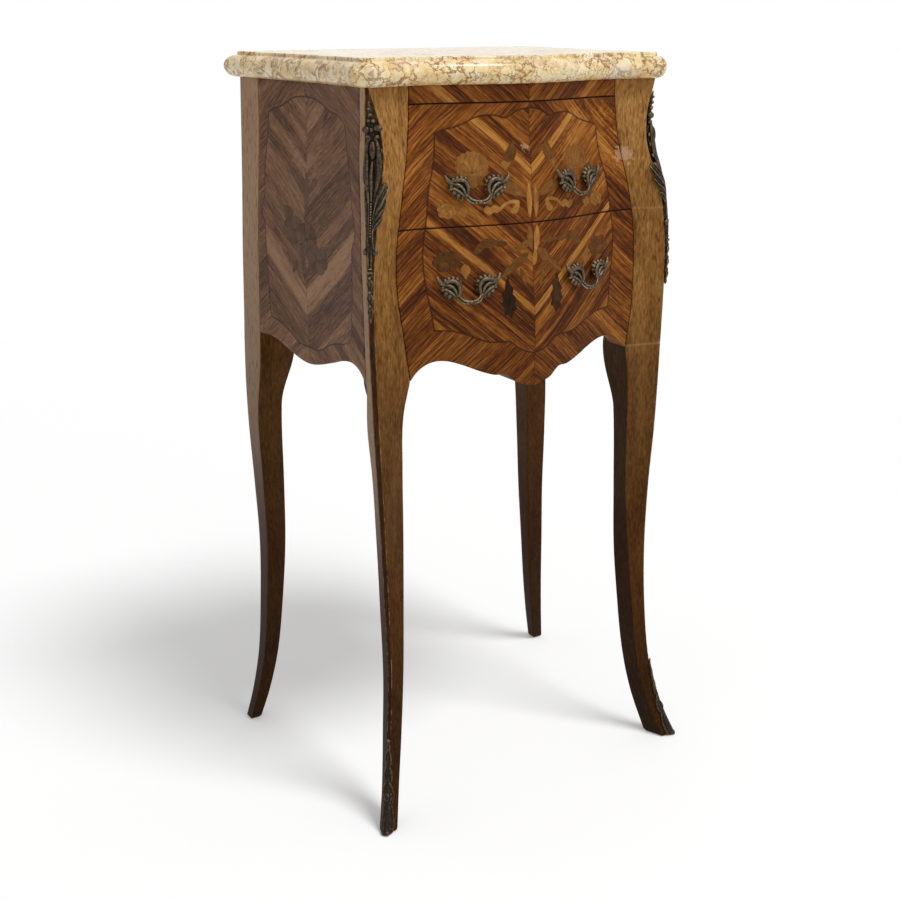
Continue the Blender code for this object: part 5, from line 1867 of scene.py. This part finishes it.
@dataclass
class Chutes(Mounts):
    """Corner mounts on the canted faces: berries, an egg in a scrolled frame, a leaf, beads and husks."""

    word: str = "chute"
    section: Section = FORM.front_post
    start: float = 0.704
    way: int = -1
    bead: float = 0.0009
    beads: int = 13
    bead_from: Triple = (0.0, 89.0, 4.2)
    bead_to: Triple = (0.0, 117.0, 3.0)
    path_points: int = 24
    bead_taper: float = 0.7
    bead_crest: float = 0.78

    def model(self) -> Casting:
        """Strokes of one corner mount, down from its top."""
        work = Casting(voxel=0.00042)
        body = ((2, 0.8, 0.8), (10, 1.8, 1.4), (20, 3.6, 2.2), (25, 4.8, 2.6), (34, 4.6, 2.6), (48, 5.4, 2.8),
                (60, 5.6, 2.8), (74, 4.8, 2.8), (86, 3.8, 2.8), (98, 3.2, 2.6), (114, 3, 2.4),
                (126, 3.6, 2.6), (134, 3.4, 2.4), (142, 2.2, 2), (149, 2.4, 2.2), (156, 2, 2),
                (176, 1.9, 1.9), (190, 1.5, 1.6), (195, 0.8, 0.8))
        work.stroke([(0, down, 0.9, *size) for down, *size in body])
        for a, down, r in ((0.2, 7.6, 1.4), (-0.3, 12.8, 1.9), (-1.8, 18.2, 2.1), (1.8, 18, 2),
                           (-4.8, 24.4, 3.4), (0.2, 25.8, 2.7), (4.8, 25.8, 3.4), (-4, 31.8, 2.3),
                           (3.8, 32.0, 2.2)):
            work.pellet((a, down, 2.4), (r, r, r))
        work.pellet((-0.4, 43.4, 4.6), (3.3, 8.2, 3.7))
        for s in (-1, 1):
            work.stroke(((2.6, 33, 3.2, 1.3), (4.8, 40, 4.2, 1.9), (5.6, 52, 4.4, 2.2), (5.4, 64, 3.8, 2.1),
                         (4, 76, 3.6, 1.6), (2.6, 88, 3.2, 1)), s)
            work.stroke(((2.4, 90, 3, 0.9), (2, 104, 3, 0.85), (2, 118, 2.8, 0.85), (2.8, 128, 2.6, 0.8)), s)
            work.pellet((3.8 * s, 131, 2.2), (1.7, 3.2, 1.9))
            work.stroke(((1.4, 124, 2.9, 0.7), (1.5, 134, 3, 0.8), (1.2, 145, 2.5, 0.7)), s)
        work.stroke(((0.6, 54, 3.8, 1.1), (1, 63, 4.6, 1.7), (0.4, 75, 4.5, 1.5), (0, 86, 3.8, 0.8)))
        work.stroke(((-2.6, 55, 3.4, 0.6), (-3, 66, 3.9, 0.8), (-1.8, 78, 3.9, 0.5)))
        for down, high in ((44, 2.4), (53, 3.2), (64, 2.4)):
            work.pellet((-6.8, down, 2.4), (1.5, high, 1.7))
        work.stroke(((4.6, 44, 2.6, 0.9), (6.8, 50, 2.6, 1.2), (7.4, 60, 2.4, 1.3), (7, 69, 2.2, 1.2),
                     (5.4, 75, 2.4, 1), (4.8, 71, 3, 0.8)))
        work.stroke(((6.2, 78, 2, 1.1), (5, 88, 2.4, 1.2), (4, 102, 2.4, 1), (3.2, 116, 2.2, 0.9),
                     (3.2, 127, 2.2, 0.8)))
        leaves = (((-2.2, 108, 2.4), (-4.4, 97, 3.4), (-7, 88, 3.8), (-9.8, 80, 3.2), (-12.6, 75, 2.6)),
                  ((-2.6, 108, 2.2), (-5.6, 98, 3), (-8.6, 92, 2.8), (-11.2, 87.5, 2.2)),
                  ((-2, 102, 3), (-4.2, 90, 4), (-6.4, 80, 4), (-8.8, 72, 3.2)),
                  ((-2.4, 112, 2), (-4.6, 106, 2.4), (-7, 101, 1.8)))
        for path in leaves:
            wide = np.interp(np.linspace(0, 1, len(path)), (0, 0.55, 1), (1.2, 2.2, 1.2))
            work.stroke([(*spot, w, w * 0.55) for spot, w in zip(path, wide)])
            work.stroke([(a, down, out + 1.1, 0.65) for a, down, out in path])
            work.pellet(path[-1], (1.4, 1.5, 1.4))
        work.pellet((0, 149.5, 2.4), (2.6, 1.4, 2.2))
        work.pellet((0, 146, 2.2), (2.2, 0.9, 1.9))
        for top, size in ((153, 1), (166, 0.92), (178.5, 0.84)):
            work.pellet((0, top + 1.4, 2.2), (1.4 * size, 1.7 * size, 1.7 * size))
            for a in (-1, 0, 1):
                work.stroke(((0.4 * a, top + 1.5, 2.2, 0.8 * size),
                             (1.4 * a * size, top + 6, 2.4 + 0.6 * (a == 0), 1.2 * size),
                             (1.2 * a * size, top + 11.5, 1.8, 0.5)))
        work.pellet((0, 192.5, 1.7), (1.1, 2.4, 1.2))
        return work

    def bead_tree(self) -> NodeTree:
        """Geometry nodes that string beads along a drawn path, smaller towards its end."""
        tree = bpy.data.node_groups.new("string_of_beads", "GeometryNodeTree")
        for name, kind in (("Path", "Geometry"), ("Beads", "Int"), ("Radius", "Float"),
                           ("Finish", "Material")):
            tree.interface.new_socket(name, in_out="INPUT", socket_type="NodeSocket" + kind)
        tree.interface.new_socket("Strung", in_out="OUTPUT", socket_type="NodeSocketGeometry")
        n = Recipe(tree)
        given = n.add("NodeGroupInput").outputs
        line = n.add("GeometryNodeResampleCurve", Curve=given["Path"], Count=given["Beads"])
        ball = n.add("GeometryNodeMeshUVSphere", Segments=10, Rings=6, Radius=given["Radius"])
        share = n.add("GeometryNodeSplineParameter").outputs["Factor"]
        size = n.add("MapRange", share, 0.0, 1.0, 1.0, self.bead_taper)
        strung = n.add("GeometryNodeInstanceOnPoints", Points=line, Instance=ball, Scale=size)
        real = n.add("GeometryNodeRealizeInstances", strung)
        worn = n.add("GeometryNodeStoreNamedAttribute", Geometry=real, Name="crest", Value=self.bead_crest,
                     data_type="FLOAT", domain="POINT")
        n.add("NodeGroupOutput", n.add("GeometryNodeSetMaterial", worn, None, given["Finish"]))
        return tree

    def trim(self, hand: Hand) -> None:
        """String the row of beads of one mount.

        Args:
            hand: which post.
        """
        name = f"{hand.word}_chute_beads"
        rows = np.linspace(self.bead_from, self.bead_to, self.path_points)
        path = bpy.data.curves.new(name, "CURVE")
        path.dimensions = "3D"
        spline = path.splines.new("POLY")
        spline.points.add(len(rows) - 1)
        for knot, spot in zip(spline.points, self.lay(rows, hand)):
            knot.co = (*spot, 1)
        carrier = placed(name + "_path", path)
        modifier = carrier.modifiers.new("beads", "NODES")
        modifier.node_group = bpy.data.node_groups.get("string_of_beads") or self.bead_tree()
        items = modifier.node_group.interface.items_tree
        sockets = {item.name: item.identifier for item in items if item.in_out == "INPUT"}
        modifier[sockets["Beads"]] = self.beads
        modifier[sockets["Radius"]] = self.bead
        modifier[sockets["Finish"]] = BRONZE.material()
        show(name, settled(carrier, name), BRONZE, Body.CARCASS, Slot.BRONZE)


@dataclass
class Sabots(Mounts):
    """Foot mounts on the front legs: a slim leaf on the corner that swells to a fluted toe."""

    word: str = "sabot"
    section: Section = FORM.front_leg

    def model(self) -> Casting:
        """Strokes of one foot mount, up from the floor."""
        work = Casting(rub=-0.03)
        spine = ((3.6, 3.4, 1.8), (14, 3.6, 1.5), (28, 3.2, 1.5), (42, 2.6, 1.5), (56, 2.2, 1.3),
                 (72, 1.6, 1.1), (86, 0.9, 0.8))
        work.stroke([(0, up, 0.5, *size) for up, *size in spine])
        for a in (-2, -1, 0, 1, 2):
            work.stroke(((1, 30, 1.2, 0.8), (2.7, 20, 1.2, 1.5, 0.9), (3.7, 10, 1.1, 1.8, 1),
                         (3.6, 3.4, 1.3, 1.5, 0.8)), a)
        work.stroke(((-8, 2.8, 0.6, 1.6, 0.8), (-4, 2.8, 1.4, 1.8, 0.9), (0, 2.8, 2, 1.9, 1),
                     (4, 2.8, 1.4, 1.8, 0.9), (8, 2.8, 0.6, 1.6, 0.8)))
        for s in (-1, 1):
            work.stroke(((1, 47, 1.2, 0.8), (3.6, 41, 1.2, 1.2), (5.4, 33, 1, 1.4), (3.8, 27, 1.0, 1.0)), s)
            work.pellet((3.0 * s, 33.5, 1.4), (1.7, 3.8, 1.3))
            work.stroke(((0.6, 63, 1, 0.6), (2.6, 56, 1.1, 1.2), (3, 48, 0.8, 0.7)), s)
            work.stroke(((0.5, 78, 0.9, 0.5), (2, 71, 0.9, 0.9), (2.2, 64, 0.7, 0.5)), s)
        work.pellet((0, 34, 2), (1.5, 4.2, 1.5))
        work.pellet((0, 87, 1), (1, 1.8, 1))
        return work


# Inside


@dataclass
class Boards:
    """Bare pine of the carcass and the drawer boxes, and the pulls' bolts: CAD solids with a new finish."""

    wide: tuple[str, ...] = ("back_panel", "back_rail", "board", "drawer_back", "drawer_bottom")
    deep: tuple[str, ...] = ("guide", "stop", "left_top", "right_top", "drawer_left", "drawer_right")

    def finish(self, name: str) -> Optional[Finish]:
        """The finish of a CAD node by what it is.

        Args:
            name: the node.

        Returns:
            Its finish; none where a finer mesh stands for it.
        """
        if name.endswith("bolt"):
            return STEEL
        for words, finish in ((self.wide, PINE_WIDE), (self.deep, PINE_DEEP)):
            if any(word in name for word in words):
                return finish
        return None

    def build(self) -> None:
        """Give each solid that still shows its finish."""
        for name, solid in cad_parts.items():
            finish = self.finish(name)
            if finish:
                solid.data.materials.clear()
                solid.data.materials.append(finish.material())
                LOG.info("%s: finished", name)


# Stage


@dataclass
class Stage:
    """White floor, soft light and a camera at the picture's viewing angle."""

    azimuth: float = math.radians(-32.17)
    elevation: float = math.radians(16.23)
    distance: float = 1.45
    target: Triple = (0.0, -0.0024, 0.376)
    lens: float = 54.49
    shift: Spot = (-0.01456, -0.05)
    floor_half: float = 3.0
    floor_fade: Spot = (1.2, 2.6)
    floor_glow: float = 0.165
    key_from: Triple = (0.33, -0.78, 1.53)
    key_strength: float = 1.71
    key_spread: float = math.radians(20)
    window_at: Triple = (0.35, -2.1, 1.35)
    window_size: float = 0.9
    window_watts: float = 5.0
    ambient: float = 0.46

    def aimed(self, name: str, data: ID, place: Vector) -> Object:
        """Put a camera or a lamp at a place, aimed at the case.

        Args:
            name: its name.
            data: its camera or lamp data.
            place: where it stands.

        Returns:
            The new object.
        """
        way = Vector(self.target) - place
        made = placed(name, data)
        made.matrix_world = Matrix.Translation(place) @ way.to_track_quat("-Z", "Y").to_matrix().to_4x4()
        return made

    def camera(self) -> None:
        """The camera, turned round the case and raised as in the picture."""
        a, e = self.azimuth, self.elevation
        way = Vector((math.sin(a) * math.cos(e), -math.cos(a) * math.cos(e), math.sin(e)))
        data = bpy.data.cameras.new("camera")
        data.lens = self.lens
        data.shift_x, data.shift_y = self.shift
        bpy.context.scene.camera = self.aimed("camera", data, Vector(self.target) + way * self.distance)

    def lamps(self) -> None:
        """A broad high key from the front right and a small window light in front."""
        key = bpy.data.lights.new("key_lamp", "SUN")
        key.energy, key.angle = self.key_strength, self.key_spread
        self.aimed("key_lamp", key, Vector(self.target) + Vector(self.key_from))
        window = bpy.data.lights.new("window_lamp", "AREA")
        window.energy, window.size = self.window_watts, self.window_size
        self.aimed("window_lamp", window, Vector(self.window_at))

    def seen(self, n: Recipe) -> Node:
        """Tell apart the light that the surround or the floor is seen by.

        Args:
            n: the recipe.

        Returns:
            One for the camera, a reflection or clear glass, and none for other light.
        """
        path = n.add("LightPath").outputs
        return n.sum("maximum(a, b, c)", a=path["Is Camera Ray"], b=path["Is Glossy Ray"],
                     c=path["Is Transmission Ray"])

    def world(self) -> None:
        """A white surround for the camera and for reflections, and a plain level of light from it."""
        world = bpy.data.worlds.new("white_surround")
        bpy.context.scene.world = world
        n = Recipe(world)
        strength = n.add("MapRange", self.seen(n), 0.0, 1.0, self.ambient, 1.0)
        n.add("OutputWorld", n.add("Background", "#ffffff", strength))

    def floor(self) -> None:
        """A matt white floor that keeps the shadow and fades out into the surround."""
        mesh = bpy.data.meshes.new("floor")
        h = self.floor_half
        mesh.from_pydata([(-h, -h, 0), (h, -h, 0), (h, h, 0), (-h, h, 0)], [], [(0, 1, 2, 3)])
        material = bpy.data.materials.new("matt_white_paper")
        n = Recipe(material)
        n.spot = n.add("TexCoord").outputs["Object"]
        n.fibre = n.add("TexNoise", n.spot, Scale=per(3.0), Detail=2.0)
        paper = n.add("Mix", n.sum("fibre * 0.3"), "#f2f2f2", "#eeeeee", **COLOURS)
        glow = n.sum("seen * glow", seen=self.seen(n), glow=self.floor_glow)
        lit = n.add("AddShader", n.add("BsdfDiffuse", paper), n.add("Emission", "#ffffff", glow))
        away = n.add("VectorMath", n.spot, operation="LENGTH")
        fade = n.add("MapRange", away.outputs["Value"], *self.floor_fade, **SMOOTH)
        n.add("OutputMaterial", n.add("MixShader", fade, lit, n.add("BsdfTransparent")))
        mesh.materials.append(material)
        floor = placed("floor", mesh)

    def build(self) -> None:
        """Set the stage."""
        bpy.context.scene.view_settings.view_transform = "Standard"
        self.camera()
        self.world()
        self.lamps()
        self.floor()


def main() -> None:
    """Build every sub-assembly in order."""
    logging.basicConfig(level=logging.INFO, format="%(name)s %(message)s")
    for assembly in (Stage(), MarbleTop(), Posts(), SidePanels(), Fronts(), Marquetry(), Pulls(), Chutes(),
                     Sabots(), Boards()):
        LOG.info("building %s", type(assembly).__name__)
        assembly.build()


if __name__ == "__main__":
    main()
